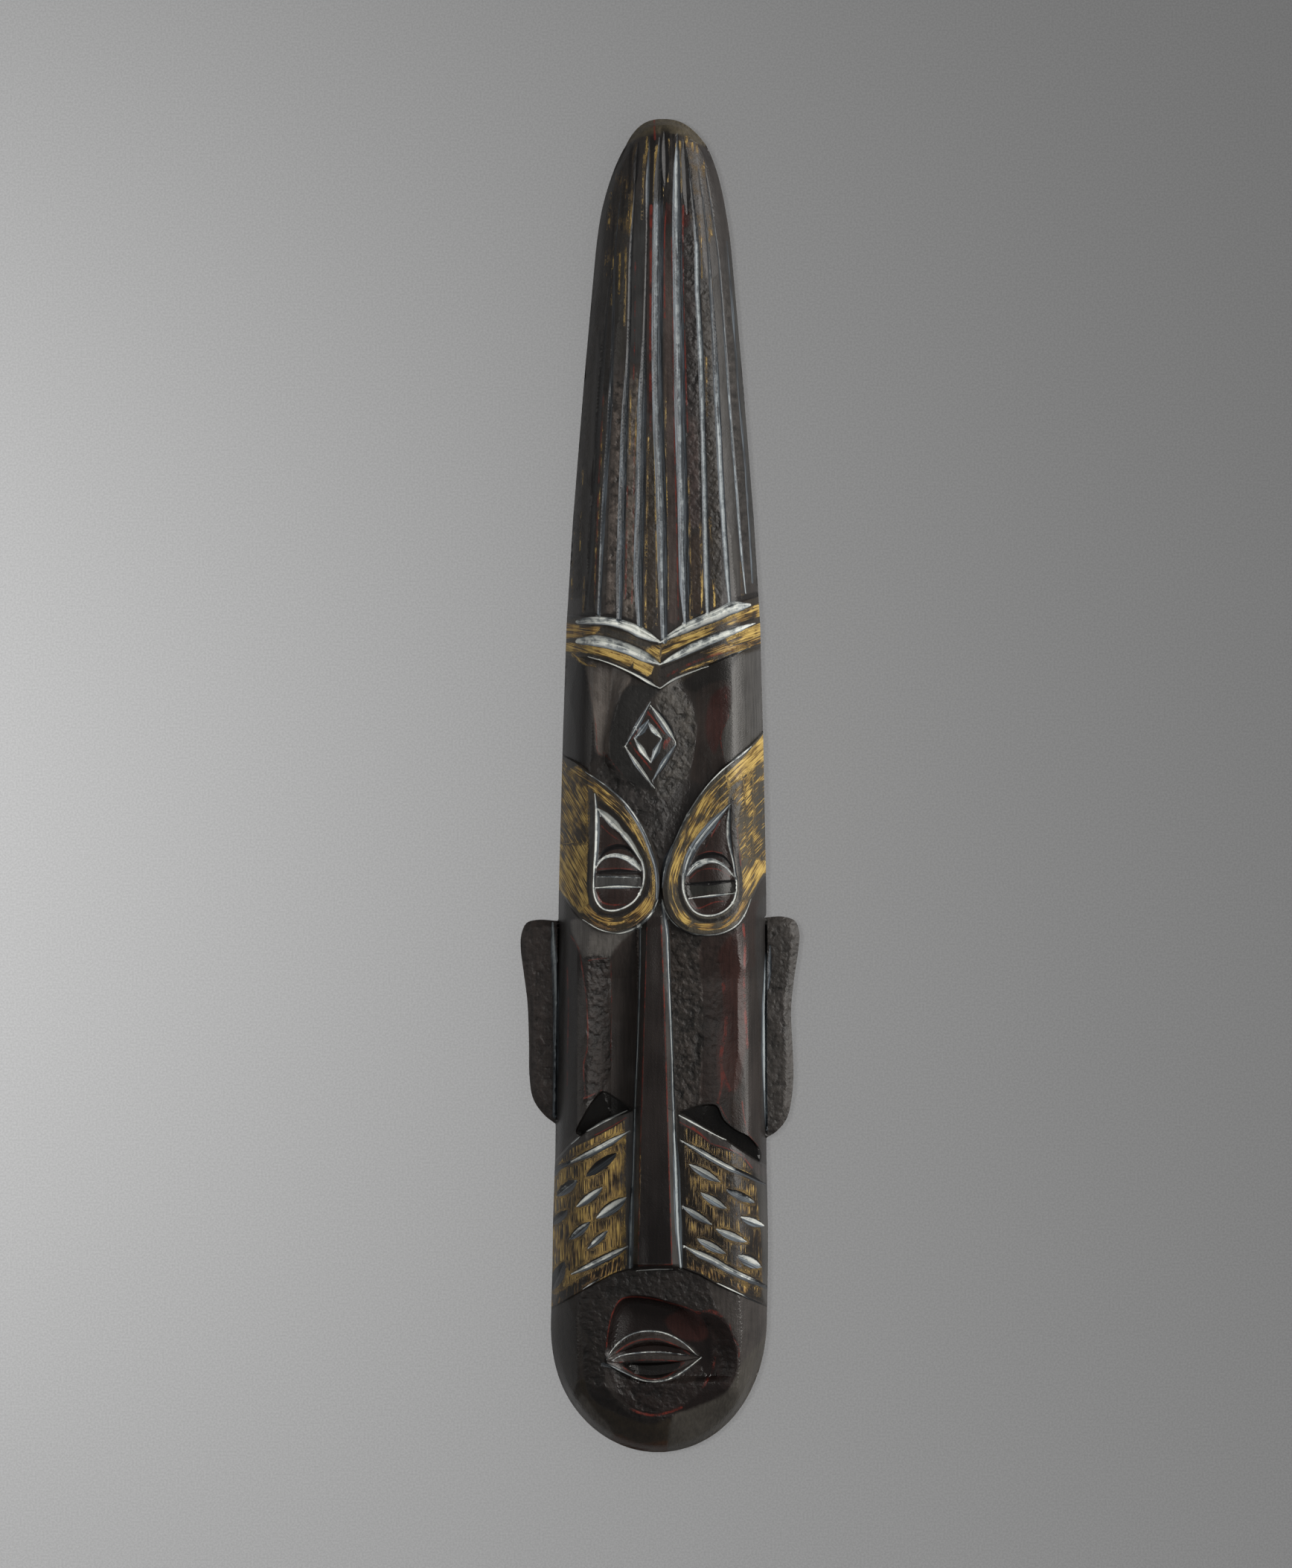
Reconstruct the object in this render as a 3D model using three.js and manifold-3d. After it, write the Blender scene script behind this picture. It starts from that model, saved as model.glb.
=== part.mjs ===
// A long carved wall mask of the African kind, in one piece of wood: a tall fluted headdress over a chevron
// headband, a diamond on the forehead, two raised eye panels, a long flat-topped nose, chip-carved cheeks,
// lips in a hollow, flat ears, and a trough gouged into the flat back.
// It lies on its back: X runs across the face, Y from chin to crown, Z stands off the back, in millimetres.
import * as THREE from "three";
import { mergeVertices } from "three/addons/utils/BufferGeometryUtils.js";
import Module from "manifold-3d";

const wasm = await Module();
wasm.setup();

// The block of wood. Tables hold [place along Y, size].
const LENGTH = 500;
const SIDE_WALL = 10;
const TIP_HALF_WIDTH = 2.2;
const HALF_WIDTH = [
  [-200, 40.5], [-165, 40.3], [-138, 39.6], [-40, 38.9], [20, 37.5],
  [60, 36.3], [100, 33.9], [155, 29.5], [250, 21],
];
const MIDDLE = [
  [-250, -0.8], [-225, -1], [-180, 0], [-40, 0.9], [60, 1.2], [215, 1.3], [240, 2.2], [250, 1.1],
];
const CREST = [
  [-250, 17], [-225, 24], [-180, 28], [-120, 29], [-55, 29.5],
  [0, 29], [60, 28], [130, 26.5], [200, 24], [250, 18],
];

// The round ends start at these places, and narrow by (1 - t ^ power) ^ (1 / root).
const CHIN_ROUND = { from: -200, power: 2.2, root: 2 };
const CROWN_ROUND = { from: 195, power: 2.5, root: 2.5 };

// Share of the height from the side wall to the crest, by distance in from the outline: long knife facets.
const SHOULDER = [[0, 0], [2.2, 0.36], [5.5, 0.66], [12, 0.9], [21, 1]];
const SHOULDER_FIT = 26; // half width below which the facets narrow with the block

// Rows of points across the block: their spacing, and how far from the tips the closer ones lie.
const ROW_STEP = 12;
const END_ROWS = [1.6, 5, 10, 17, 26, 37];

// Heights and limits for cutters.
const HIGH = 60; // clear of the whole mask
const LOW = 2; // inside the block
const CLEAR = 0.2; // just over the surface
const MITRE_LIMIT = 0.45;
const EDGE_STEP = 7; // spacing of the points along smooth edges and grooves

// Raised and sunk areas, as heights over the block's own surface.
const BAND_RISE = 1.6;
const EYE_RISE = 2.6;
const CHEEK_PANEL_RISE = 1.4;
const MOUTH_DROP = -5.5;

// Flutes of the headdress: X of each at its foot on the headband, halfway up and at its tip.
const FLUTES = [
  [-28.5, -24.6, -20], [-22.8, -19.4, -15.4], [-15.6, -13.2, -10], [-7.8, -5.8, -4.8], [1.5, 0, -0.3],
  [9.7, 8, 5.9], [18.1, 16.2, 11.8], [26, 22, 15.6], [32.7, 27.2, 19],
];
const FLUTE = { middleY: 130, tipY: 240, halfWidth: 1.9, depth: 1.8, tipTaper: 0.15 };
const FLUTE_STEPS = 11;

// Chevrons of the headband, from the left side over the middle to the right side, and how far each groove
// is lifted from the block's surface towards the band's.
const CHEVRON_TOP = [[-38, 64], [-29, 62], [-12, 60.5], [0, 53.4], [15, 61.5], [28, 67.2], [40, 71]];
const CHEVRON_MIDDLE = [[-38, 55.5], [-24, 54.8], [-12, 51], [0, 45.2], [15, 52.8], [28, 58.5], [40, 63]];
const CHEVRON_FOOT = [[-40, 50], [-28, 48.5], [-10, 41.2], [0, 36.3], [12, 43.2], [26, 49], [41, 55]];
const CHEVRON = { halfWidth: 1.7, depth: 1.6 };
const CHEVRON_LIFTS = [0.8, 1.6, 0.5];
const CHEVRON_STEP = 9;

// Forehead: a diamond in a diamond, on the swelling left between two long hollows. A hollow's section has
// places along X with their share of its drop, and its run has places along Y with theirs.
const DIAMONDS = [
  [[-3.3, 31.3], [5.8, 16], [-2, -1], [-13.2, 15.2]],
  [[-4.3, 23.5], [1.3, 17.7], [-3, 9], [-9.3, 18]],
];
const DIAMOND = { halfWidth: 1.1, depth: 1.1, loop: true, reach: 0.8 };
const BROW_HOLLOWS = [
  {
    drop: 4,
    section: [[-31, 0], [-27, 0.15], [-19.5, 1], [-13, 0.2], [-10, 0]],
    run: [[56, 0.5], [40, 1], [10, 0.9], [-12, 0.5]],
  },
  {
    drop: 4,
    section: [[9, 0], [12, 0.2], [18, 1], [25.5, 0.2], [30, 0]],
    run: [[56, 0.5], [40, 1], [10, 0.9], [-14, 0.6]],
  },
];

// Eye panels, one on each side, with a teardrop, an eyeball and its two slits each.
const EYES = [
  {
    panel: [
      [-46, 13], [-31, 8], [-20, -1], [-10, -10.5], [-3, -23], [-0.4, -36], [-3, -46], [-9, -52.2],
      [-18, -54.7], [-28, -51], [-34, -43.5], [-39, -35], [-46, -31],
    ],
    tip: [-24, -6],
    tear: [
      [-25, -20], [-25.2, -36], [-23, -44.8], [-16.5, -46.6],
      [-9.5, -43], [-6, -34.5], [-8, -25.5], [-16, -14.5],
    ],
    ball: { at: [-15.6, -35.4], halfWidth: 8, halfHeight: 9.4 },
    slits: [[[-24, -33.8], [-7, -33.8]], [[-24, -38], [-7, -38]]],
  },
  {
    panel: [
      [46, 28], [38, 19], [27, 9], [16.5, -1.3], [7, -18], [0.9, -33], [1.6, -44], [7, -52.5],
      [16, -55.6], [25, -54.3], [32, -47], [38, -36], [46, -32],
    ],
    tip: [26, -5.5],
    tear: [
      [19, -14.5], [10.5, -26], [8.5, -36], [12.5, -46.8],
      [19, -48.6], [26, -45.4], [28.5, -35], [26.5, -20],
    ],
    ball: { at: [18.6, -37.2], halfWidth: 8.6, halfHeight: 8.8 },
    slits: [[[10.5, -37], [27.5, -36]], [[10.5, -42], [27.5, -40]]],
  },
];
const EYE_EDGE = { halfWidth: 1.7, depth: 2.4, reach: 3 };
const TEAR = { halfWidth: 1.4, depth: 1.7, reach: 0.8, loop: true, step: 4 };
const BALL = { drop: -1.8, bulge: 2.6, gap: 0.5, sides: 14, rings: 10 };
const SLIT = { halfWidth: 0.8, depth: 1, reach: 3 };

// Nose: stations of [Y, left foot, left edge, right edge, right foot, height over the block].
const NOSE = [
  [-49, -6.6, -4.6, 0.2, 2.4, 2],
  [-53, -7.6, -5, 0.6, 3.2, 3.6],
  [-110, -9.4, -6.4, 2.4, 5.4, 6.6],
  [-178, -11.4, -8.2, 4.4, 7.8, 9.6],
  [-181.5, -11.4, -8.2, 4.4, 7.8, 8.4],
];
const NOSE_SIDE = 13;

// Cheek hollows: lowest beside the nose, up to a rim near the sides, and deeper where they meet the panels.
const CHEEK_HOLLOWS = [
  {
    drop: 9,
    section: [[-31, 0], [-28, 0.2], [-18, 0.85], [-6, 1]],
    run: [[-40, 0.8], [-64, 1], [-113, 1], [-123, 1.3], [-150, 1.3]],
  },
  {
    drop: 9,
    section: [[3, 1], [15.5, 0.9], [29, 0.2], [32.5, 0]],
    run: [[-40, 0.8], [-64, 1], [-115, 1], [-125, 1.3], [-150, 1.3]],
  },
];

// Chip-carved panels beside the nose: an upper and a lower edge, long grooves and short leaf cuts.
const CHEEK_PANELS = [
  {
    upper: [[-11, -121.8], [-20, -125], [-33, -134], [-46, -145]],
    lower: [[-46, -199], [-32, -190], [-18, -182], [-9, -179.8]],
  },
  {
    upper: [[7, -122.5], [23, -131.5], [46, -146]],
    lower: [[46, -198], [30, -190], [15, -182.5], [7, -179.8]],
  },
];
const PANEL_EDGE = { halfWidth: 1.2, depth: 1.4 };
const PANEL_GROOVES = [
  [[-11.5, -128.3], [-28, -137.5], [-43, -147.5]],
  [[-12.5, -171.8], [-30, -181], [-44, -188]],
  [[8, -133], [22, -140.5], [43, -150]],
  [[9, -172.5], [24, -179.5], [43, -190]],
];
const PANEL_GROOVE = { halfWidth: 1.3, depth: 1.3, lift: CHEEK_PANEL_RISE };
const LEAVES = [
  [[-27, -145.5], [-16.5, -138]], [[-38.5, -153], [-31, -148]], [[-31, -157.5], [-21.5, -150.5]],
  [[-23.5, -161.5], [-13, -154]], [[-39.5, -163.5], [-35, -159]], [[-34, -169.5], [-27, -163.5]],
  [[-27, -172.5], [-20.5, -166.5]], [[-40, -188], [-36, -178]], [[12, -142.5], [21.5, -147.5]],
  [[15.5, -152.5], [24.5, -158]], [[25, -151], [35, -156]], [[8.5, -157.5], [18.5, -163.5]],
  [[30.5, -161.5], [38.5, -165]], [[21.5, -166], [32, -170.5]], [[14, -169.5], [24, -174.5]],
  [[30, -176], [37.5, -180]],
];
const LEAF = { halfWidth: 1.3, depth: 1.4, lift: CHEEK_PANEL_RISE, taper: 0.5, reach: 1 };
const LEAF_STEPS = 6;

// Mouth: a hollow, as steps of [scale of its outline, height], with the lips standing in it.
const MOUTH_HOLLOW = [
  [-20.5, -213], [-19, -203], [-14, -192], [-4, -190.6], [6, -194], [14, -196.5], [21, -197], [27, -204],
  [29.5, -213], [28, -222], [22, -229], [6, -235], [-5, -235.6], [-14, -231.5], [-20.5, -224],
];
const MOUTH_STEPS = [[1.05, 30], [1.05, 1], [1, 0], [0.82, -4.8], [0.5, MOUTH_DROP], [0.05, MOUTH_DROP]];
const LIPS = { left: [-21, -214.8], right: [15, -214], upper: 9.6, lower: 8.4, rise: 4.4, steps: 10 };
const LIP_ROOT = 2; // how far the lips go down into the wood
const CORNER_SWELL = 0.02; // what is left of the lips at the mouth's corners

// Section across the lips: the share of the upper or of the lower lip's width, and the share of the rise.
const LIP_SECTION = [[1, 0.35], [0.72, 1], [0.2, 0.6], [-0.1, 0.45], [-0.75, 0.9], [-1, 0.3]];

// Ears: flat plates beside the cheeks, seen from the front.
const EAR_HEIGHT = 12;
const EAR_BEVEL = 1.6;
const EAR_STEP = 5;
const EARS = [
  [
    [-34, -50.6], [-46, -50.6], [-51, -53], [-52.6, -60], [-50.2, -77], [-49, -96], [-49, -111],
    [-46, -121.5], [-39, -126.6], [-34, -127],
  ],
  [
    [34, -50], [47, -49.4], [51.6, -52.4], [52.4, -60], [49.6, -78], [49.4, -96], [50, -110],
    [48, -124], [40, -131.6], [34, -132],
  ],
];

// Trough in the back: stations of [Y, half width, depth], and its section as shares of both.
const TROUGH = [
  [-226, 12, 4], [-214, 22, 9], [-190, 27, 13], [-60, 27, 15], [40, 25, 15], [130, 20, 13], [200, 14, 9],
  [218, 8, 4],
];
const TROUGH_SECTION = [
  [1.04, -1], [0.92, 0.45], [0.55, 0.92], [0, 1], [-0.55, 0.92], [-0.92, 0.45], [-1.04, -1],
];

// The straight-line reading of a table.
function read(table, at) {
  const end = table.findIndex(([place]) => at <= place);
  if (end === 0) return table[0][1];
  if (end < 0) return table[table.length - 1][1];
  const [x0, y0] = table[end - 1];
  const [x1, y1] = table[end];
  return y0 + ((y1 - y0) * (at - x0)) / (x1 - x0);
}

function roundEnd({ from, power, root }, y) {
  const tip = (Math.sign(from) * LENGTH) / 2;
  const t = THREE.MathUtils.clamp((y - from) / (tip - from), 0, 1);
  return (1 - t ** power) ** (1 / root);
}

function halfWidth(y) {
  const width = read(HALF_WIDTH, y) * roundEnd(CHIN_ROUND, y) * roundEnd(CROWN_ROUND, y);
  return Math.max(width, TIP_HALF_WIDTH);
}

// The rows of points that the block's outline and surface are built on.
function rowPlaces() {
  const chin = [0, ...END_ROWS].map((inset) => inset - LENGTH / 2);
  const first = chin[chin.length - 1];
  const count = Math.round((-2 * first) / ROW_STEP);
  const long = Array.from({ length: count - 1 }, (_, i) => first + ((i + 1) * -2 * first) / count);
  return [...chin, ...long, ...chin.map((y) => -y).reverse()];
}

const ROWS = rowPlaces();
const OUTLINE = [
  ...ROWS.map((y) => [read(MIDDLE, y) + halfWidth(y), y]),
  ...ROWS.map((y) => [read(MIDDLE, y) - halfWidth(y), y]).reverse(),
];

const onBlock = ([x, y]) => Math.abs(x - read(MIDDLE, y)) < halfWidth(y);

function distanceToOutline(x, y) {
  let nearest = Infinity;
  OUTLINE.forEach(([ax, ay], i) => {
    const [bx, by] = OUTLINE[(i + 1) % OUTLINE.length];
    const length = (bx - ax) ** 2 + (by - ay) ** 2;
    const t = THREE.MathUtils.clamp(((x - ax) * (bx - ax) + (y - ay) * (by - ay)) / length, 0, 1);
    nearest = Math.min(nearest, Math.hypot(ax + t * (bx - ax) - x, ay + t * (by - ay) - y));
  });
  return nearest;
}

// Height of the block's rounded top over the back plane, and of the side wall beyond the outline.
function blockHeight(x, y) {
  const share = onBlock([x, y]) ? read(SHOULDER, distanceToOutline(x, y)) : 0;
  return SIDE_WALL + (read(CREST, y) - SIDE_WALL) * share;
}

// The way the block's surface faces, as a unit vector.
function facing(x, y) {
  const slopeX = (blockHeight(x + 1, y) - blockHeight(x - 1, y)) / 2;
  const slopeY = (blockHeight(x, y + 1) - blockHeight(x, y - 1)) / 2;
  return new THREE.Vector3(-slopeX, -slopeY, 1).normalize();
}

// A closed three.js geometry as a solid with its faces pointing out.
function solid(geometry) {
  geometry.deleteAttribute("normal");
  geometry.deleteAttribute("uv");
  const merged = mergeVertices(geometry, 1e-4);
  const vertProperties = new Float32Array(merged.attributes.position.array);
  const triVerts = Uint32Array.from(merged.index.array);
  const made = new wasm.Manifold(new wasm.Mesh({ numProp: 3, vertProperties, triVerts }));
  if (made.volume() > 0) return made;
  for (let i = 0; i < triVerts.length; i += 3) {
    [triVerts[i], triVerts[i + 1]] = [triVerts[i + 1], triVerts[i]];
  }
  return new wasm.Manifold(new wasm.Mesh({ numProp: 3, vertProperties, triVerts }));
}

// A solid from rings of points with the same count, joined ring to ring, and capped or closed into a loop.
function loft(rings, loop = false) {
  const count = rings[0].length;
  const spans = loop ? rings.length : rings.length - 1;
  const index = [];
  for (let r = 0; r < spans; r++) {
    const next = (r + 1) % rings.length;
    for (let i = 0; i < count; i++) {
      const j = (i + 1) % count;
      const [a, b, c, d] = [r * count + i, r * count + j, next * count + i, next * count + j];
      index.push(a, b, d, a, d, c);
    }
  }
  const last = (rings.length - 1) * count;
  for (let i = 1; !loop && i < count - 1; i++) index.push(0, i + 1, i, last, last + i, last + i + 1);
  const geometry = new THREE.BufferGeometry();
  geometry.setAttribute("position", new THREE.Float32BufferAttribute(rings.flat(2), 3));
  geometry.setIndex(index);
  return solid(geometry);
}

// The block, with its top moved up or down.
function block(rise = 0) {
  const rings = ROWS.map((y) => {
    const half = halfWidth(y);
    const fit = Math.min(1, half / SHOULDER_FIT);
    const facets = SHOULDER.map(([distance]) => half - distance * fit);
    const places = [...facets, 0, ...facets.map((x) => -x).reverse()].map((x) => read(MIDDLE, y) + x);
    const top = places.map((x) => [x, y, blockHeight(x, y) + rise]);
    return [[places[0], y, 0], ...top, [places[places.length - 1], y, 0]];
  });
  return loft(rings);
}

// An upright solid over a closed outline.
function prism(outline) {
  const shape = new THREE.Shape(outline.map(([x, y]) => new THREE.Vector2(x, y)));
  return solid(new THREE.ExtrudeGeometry(shape, { depth: HIGH, bevelEnabled: false }).translate(0, 0, LOW));
}

// An area of the block's surface moved up, and the cutter that moves one down.
const raised = (outline, rise) => block(rise).intersect(prism(outline));
const sinker = (outline, drop) => prism(outline).subtract(block(drop));

// Points along a line: smoothly through a few, or straight between two.
function smooth(points, step, closed = false) {
  const places = points.map(([x, y]) => new THREE.Vector3(x, y, 0));
  const curve = new THREE.CatmullRomCurve3(places, closed, "centripetal");
  const found = curve.getSpacedPoints(Math.ceil(curve.getLength() / step)).map(({ x, y }) => [x, y]);
  return closed ? found.slice(0, -1) : found;
}

function between([x0, y0], [x1, y1], steps) {
  const shares = Array.from({ length: steps + 1 }, (_, i) => i / steps);
  return shares.map((t) => [THREE.MathUtils.lerp(x0, x1, t), THREE.MathUtils.lerp(y0, y1, t)]);
}

// A V-shaped cutter along a line, square to the surface. Its floor fades out of the wood over the taper's
// share of both ends, or of the tip alone, and its sides go on above the surface by the reach.
function cutter(line, size) {
  const { halfWidth: half, depth, lift = 0, loop = false, taper = 0, tipTaper = taper, reach = 2.4 } = size;
  const last = line.length - 1;
  const place = (i) => {
    const k = loop ? (i + line.length) % line.length : THREE.MathUtils.clamp(i, 0, last);
    return new THREE.Vector2(...line[k]);
  };
  const rings = line.map(([x, y], i) => {
    const before = place(i).sub(place(i - 1)).normalize();
    const after = place(i + 1).sub(place(i)).normalize();
    const along = before.clone().add(after).normalize();
    const mitre = 1 / Math.max(along.dot(i < last || loop ? after : before), MITRE_LIMIT);
    const up = facing(x, y);
    const side = up.clone().cross(new THREE.Vector3(along.x, along.y, 0)).normalize();
    const headShare = taper ? i / (last * taper) : 1;
    const tipShare = tipTaper ? (last - i) / (last * tipTaper) : 1;
    const fade = Math.sin((Math.min(headShare, tipShare, 1) * Math.PI) / 2);
    const floor = depth * fade - CLEAR * (1 - fade);
    const wide = (mitre * half * (reach + floor)) / depth;
    const foot = new THREE.Vector3(x, y, blockHeight(x, y) + lift);
    return [[-wide, reach], [0, -floor], [wide, reach]].map(([across, rise]) =>
      foot.clone().addScaledVector(side, across).addScaledVector(up, rise).toArray(),
    );
  });
  return loft(rings, loop);
}

// A V along an edge or a groove, as far as it lies on the block.
const edging = (line, size) => cutter(line.filter(onBlock), size);

// A cutter for a long hollow: its section's drop below the surface, station by station along Y.
function hollow({ drop, section, run }) {
  const [first, last] = [section[0][0], section[section.length - 1][0]];
  const rings = run.map(([y, share]) => {
    const floor = section.map(([x, part]) => [x, y, blockHeight(x, y) + CLEAR - drop * share * part]);
    return [...floor, [last, y, HIGH], [first, y, HIGH]];
  });
  return loft(rings);
}

// A cutter for a bowl: its outline shrinks towards its middle in steps of [scale, height].
function bowl(outline, steps) {
  const middleX = outline.reduce((sum, [x]) => sum + x, 0) / outline.length;
  const middleY = outline.reduce((sum, [, y]) => sum + y, 0) / outline.length;
  const rings = steps.map(([scale, rise]) =>
    outline.map(([outerX, outerY]) => {
      const x = THREE.MathUtils.lerp(middleX, outerX, scale);
      const y = THREE.MathUtils.lerp(middleY, outerY, scale);
      return [x, y, blockHeight(x, y) + rise];
    }),
  );
  return loft(rings);
}

function flutes() {
  return FLUTES.map(([foot, middle, tip]) => {
    const run = new THREE.QuadraticBezierCurve(
      new THREE.Vector2(foot, read(CHEVRON_TOP, foot)),
      new THREE.Vector2(2 * middle - (foot + tip) / 2, FLUTE.middleY),
      new THREE.Vector2(tip, FLUTE.tipY),
    );
    return cutter(run.getPoints(FLUTE_STEPS).map(({ x, y }) => [x, y]), FLUTE);
  });
}

// A line through a chevron's points, bent sharply at its middle.
function chevron(points) {
  const middle = points.findIndex(([x]) => x === 0);
  const [left, right] = [points.slice(0, middle + 1), points.slice(middle)];
  return [...smooth(left, CHEVRON_STEP).slice(0, -1), ...smooth(right, CHEVRON_STEP)];
}

function headband() {
  const lines = [CHEVRON_TOP, CHEVRON_MIDDLE, CHEVRON_FOOT].map(chevron);
  const [top, , foot] = lines;
  return {
    form: raised([...top, ...[...foot].reverse()], BAND_RISE),
    cuts: lines.map((line, i) => edging(line, { ...CHEVRON, lift: CHEVRON_LIFTS[i] })),
  };
}

// An eye: its raised panel, the teardrop around it, and an eyeball in a sunk socket with two slits.
function eye({ panel, tip, tear, ball, slits }) {
  const around = smooth([tip, ...tear, tip], TEAR.step).slice(0, -1);
  const oval = new THREE.EllipseCurve(...ball.at, ball.halfWidth, ball.halfHeight, 0, 2 * Math.PI);
  const socket = oval.getPoints(BALL.sides).slice(0, -1).map(({ x, y }) => [x, y]);
  const globe = new THREE.SphereGeometry(1, BALL.sides, BALL.rings)
    .scale(ball.halfWidth - BALL.gap, ball.halfHeight - BALL.gap, BALL.bulge)
    .translate(...ball.at, blockHeight(...ball.at) + EYE_RISE + BALL.drop);
  return {
    form: raised(smooth(panel, EDGE_STEP, true), EYE_RISE),
    cuts: [
      edging(smooth(panel, EDGE_STEP), EYE_EDGE),
      cutter(around, { ...TEAR, lift: EYE_RISE }),
      sinker(socket, EYE_RISE + BALL.drop),
    ],
    globe: solid(globe),
    slits: slits.map((line) => cutter(line, { ...SLIT, lift: EYE_RISE + BALL.drop + BALL.bulge })),
  };
}

function nose() {
  const rings = NOSE.map(([y, leftFoot, leftEdge, rightEdge, rightFoot, rise]) => {
    const top = read(CREST, y) + rise;
    const foot = top - NOSE_SIDE;
    return [
      [leftFoot, y, LOW], [leftFoot, y, foot], [leftEdge, y, top],
      [rightEdge, y, top], [rightFoot, y, foot], [rightFoot, y, LOW],
    ];
  });
  return loft(rings);
}

function cheekPanel({ upper, lower }) {
  return {
    form: raised([...upper, ...lower], CHEEK_PANEL_RISE),
    cuts: [upper, lower].map((line) => edging(smooth(line, EDGE_STEP), PANEL_EDGE)),
  };
}

function chipCuts() {
  const grooves = PANEL_GROOVES.map((line) => edging(smooth(line, EDGE_STEP), PANEL_GROOVE));
  const leaves = LEAVES.map(([from, to]) => cutter(between(from, to, LEAF_STEPS), LEAF));
  return [...grooves, ...leaves];
}

// The lips swell from both corners to two ridges with a shallow valley between them.
function lips() {
  const rings = between(LIPS.left, LIPS.right, LIPS.steps).map(([x, y], i) => {
    const swell = Math.max(Math.sin((Math.PI * i) / LIPS.steps), CORNER_SWELL);
    const floor = blockHeight(x, y) + MOUTH_DROP;
    const section = LIP_SECTION.map(([share, rise]) => {
      const reach = share * (share > 0 ? LIPS.upper : LIPS.lower);
      return [x, y + reach * swell, floor + rise * LIPS.rise * swell];
    });
    const [top, foot] = [section[0], section[section.length - 1]];
    return [[x, top[1], floor - LIP_ROOT], ...section, [x, foot[1], floor - LIP_ROOT]];
  });
  return loft(rings);
}

function ear(outline) {
  const shape = new THREE.Shape(smooth(outline, EAR_STEP).map(([x, y]) => new THREE.Vector2(x, y)));
  const plate = new THREE.ExtrudeGeometry(shape, {
    depth: EAR_HEIGHT - 2 * EAR_BEVEL,
    bevelSize: EAR_BEVEL,
    bevelOffset: -EAR_BEVEL,
    bevelThickness: EAR_BEVEL,
    bevelSegments: 2,
  });
  return solid(plate.translate(0, 0, EAR_BEVEL));
}

// A cutter for the trough in the back, open through the back plane.
function trough() {
  const rings = TROUGH.map(([y, half, depth]) =>
    TROUGH_SECTION.map(([across, up]) => [read(MIDDLE, y) + across * half, y, up * depth]),
  );
  return loft(rings);
}

// Hollows first, then the raised forms and the cuts in them, the eyeballs, the ears, and the back last.
function carve() {
  const all = (solids) => wasm.Manifold.union(solids);
  const eyes = EYES.map(eye);
  const areas = [headband(), ...eyes, ...CHEEK_PANELS.map(cheekPanel)];
  const hollows = [...BROW_HOLLOWS, ...CHEEK_HOLLOWS].map(hollow);
  const mouth = bowl(smooth(MOUTH_HOLLOW, EDGE_STEP, true), MOUTH_STEPS);
  const diamonds = DIAMONDS.map((corners) => cutter(corners, DIAMOND));
  const carved = block()
    .subtract(all([...hollows, mouth]))
    .add(all([...areas.map(({ form }) => form), nose(), lips()]))
    .subtract(all([...areas.flatMap(({ cuts }) => cuts), ...flutes(), ...diamonds, ...chipCuts()]))
    .add(all(eyes.map(({ globe }) => globe)))
    .subtract(all(eyes.flatMap(({ slits }) => slits)))
    .add(all(EARS.map(ear)))
    .subtract(trough());
  return carved.decompose().reduce((kept, chip) => (chip.volume() > kept.volume() ? chip : kept));
}

function nodeFrom(made, name, material) {
  const { vertProperties, triVerts } = made.getMesh();
  const geometry = new THREE.BufferGeometry();
  geometry.setAttribute("position", new THREE.BufferAttribute(vertProperties, 3));
  geometry.setIndex(new THREE.BufferAttribute(triVerts, 1));
  geometry.computeVertexNormals();
  const mesh = new THREE.Mesh(geometry, material);
  mesh.name = name;
  return mesh;
}

const lacqueredWood = new THREE.MeshStandardMaterial({
  name: "lacquered_wood",
  color: 0x2d2622,
  roughness: 0.42,
  metalness: 0,
});

const part = new THREE.Group();
part.add(nodeFrom(carve(), "mask", lacqueredWood));

export default part;
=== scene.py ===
"""A long carved wall mask with its paint, lying on a pale floor and seen from straight above.

The carving is one mesh: a front whose triangles follow the knife's lines, side walls, and a back with a
gouged trough. Its sizes are the part's own, in millimetres, and become metres when the mesh is made.
"""

import bpy
import numpy as np
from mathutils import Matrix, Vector, geometry, kdtree


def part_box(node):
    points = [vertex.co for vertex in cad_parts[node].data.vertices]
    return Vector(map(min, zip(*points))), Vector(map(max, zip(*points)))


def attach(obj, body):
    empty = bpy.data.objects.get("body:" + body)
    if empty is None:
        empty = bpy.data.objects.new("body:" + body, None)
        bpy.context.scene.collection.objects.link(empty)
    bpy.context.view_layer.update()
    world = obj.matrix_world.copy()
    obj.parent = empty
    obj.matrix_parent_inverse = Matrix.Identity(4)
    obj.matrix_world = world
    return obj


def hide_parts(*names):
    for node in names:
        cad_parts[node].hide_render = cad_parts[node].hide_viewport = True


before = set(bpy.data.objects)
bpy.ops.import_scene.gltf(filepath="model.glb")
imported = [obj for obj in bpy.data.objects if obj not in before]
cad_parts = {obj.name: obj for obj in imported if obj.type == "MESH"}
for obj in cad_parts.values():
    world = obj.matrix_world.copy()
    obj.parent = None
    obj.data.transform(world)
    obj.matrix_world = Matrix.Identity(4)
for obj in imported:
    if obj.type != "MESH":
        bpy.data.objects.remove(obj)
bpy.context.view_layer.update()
LOW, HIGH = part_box("mask")
LENGTH = 500
MM = (HIGH.y - LOW.y) / LENGTH

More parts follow.
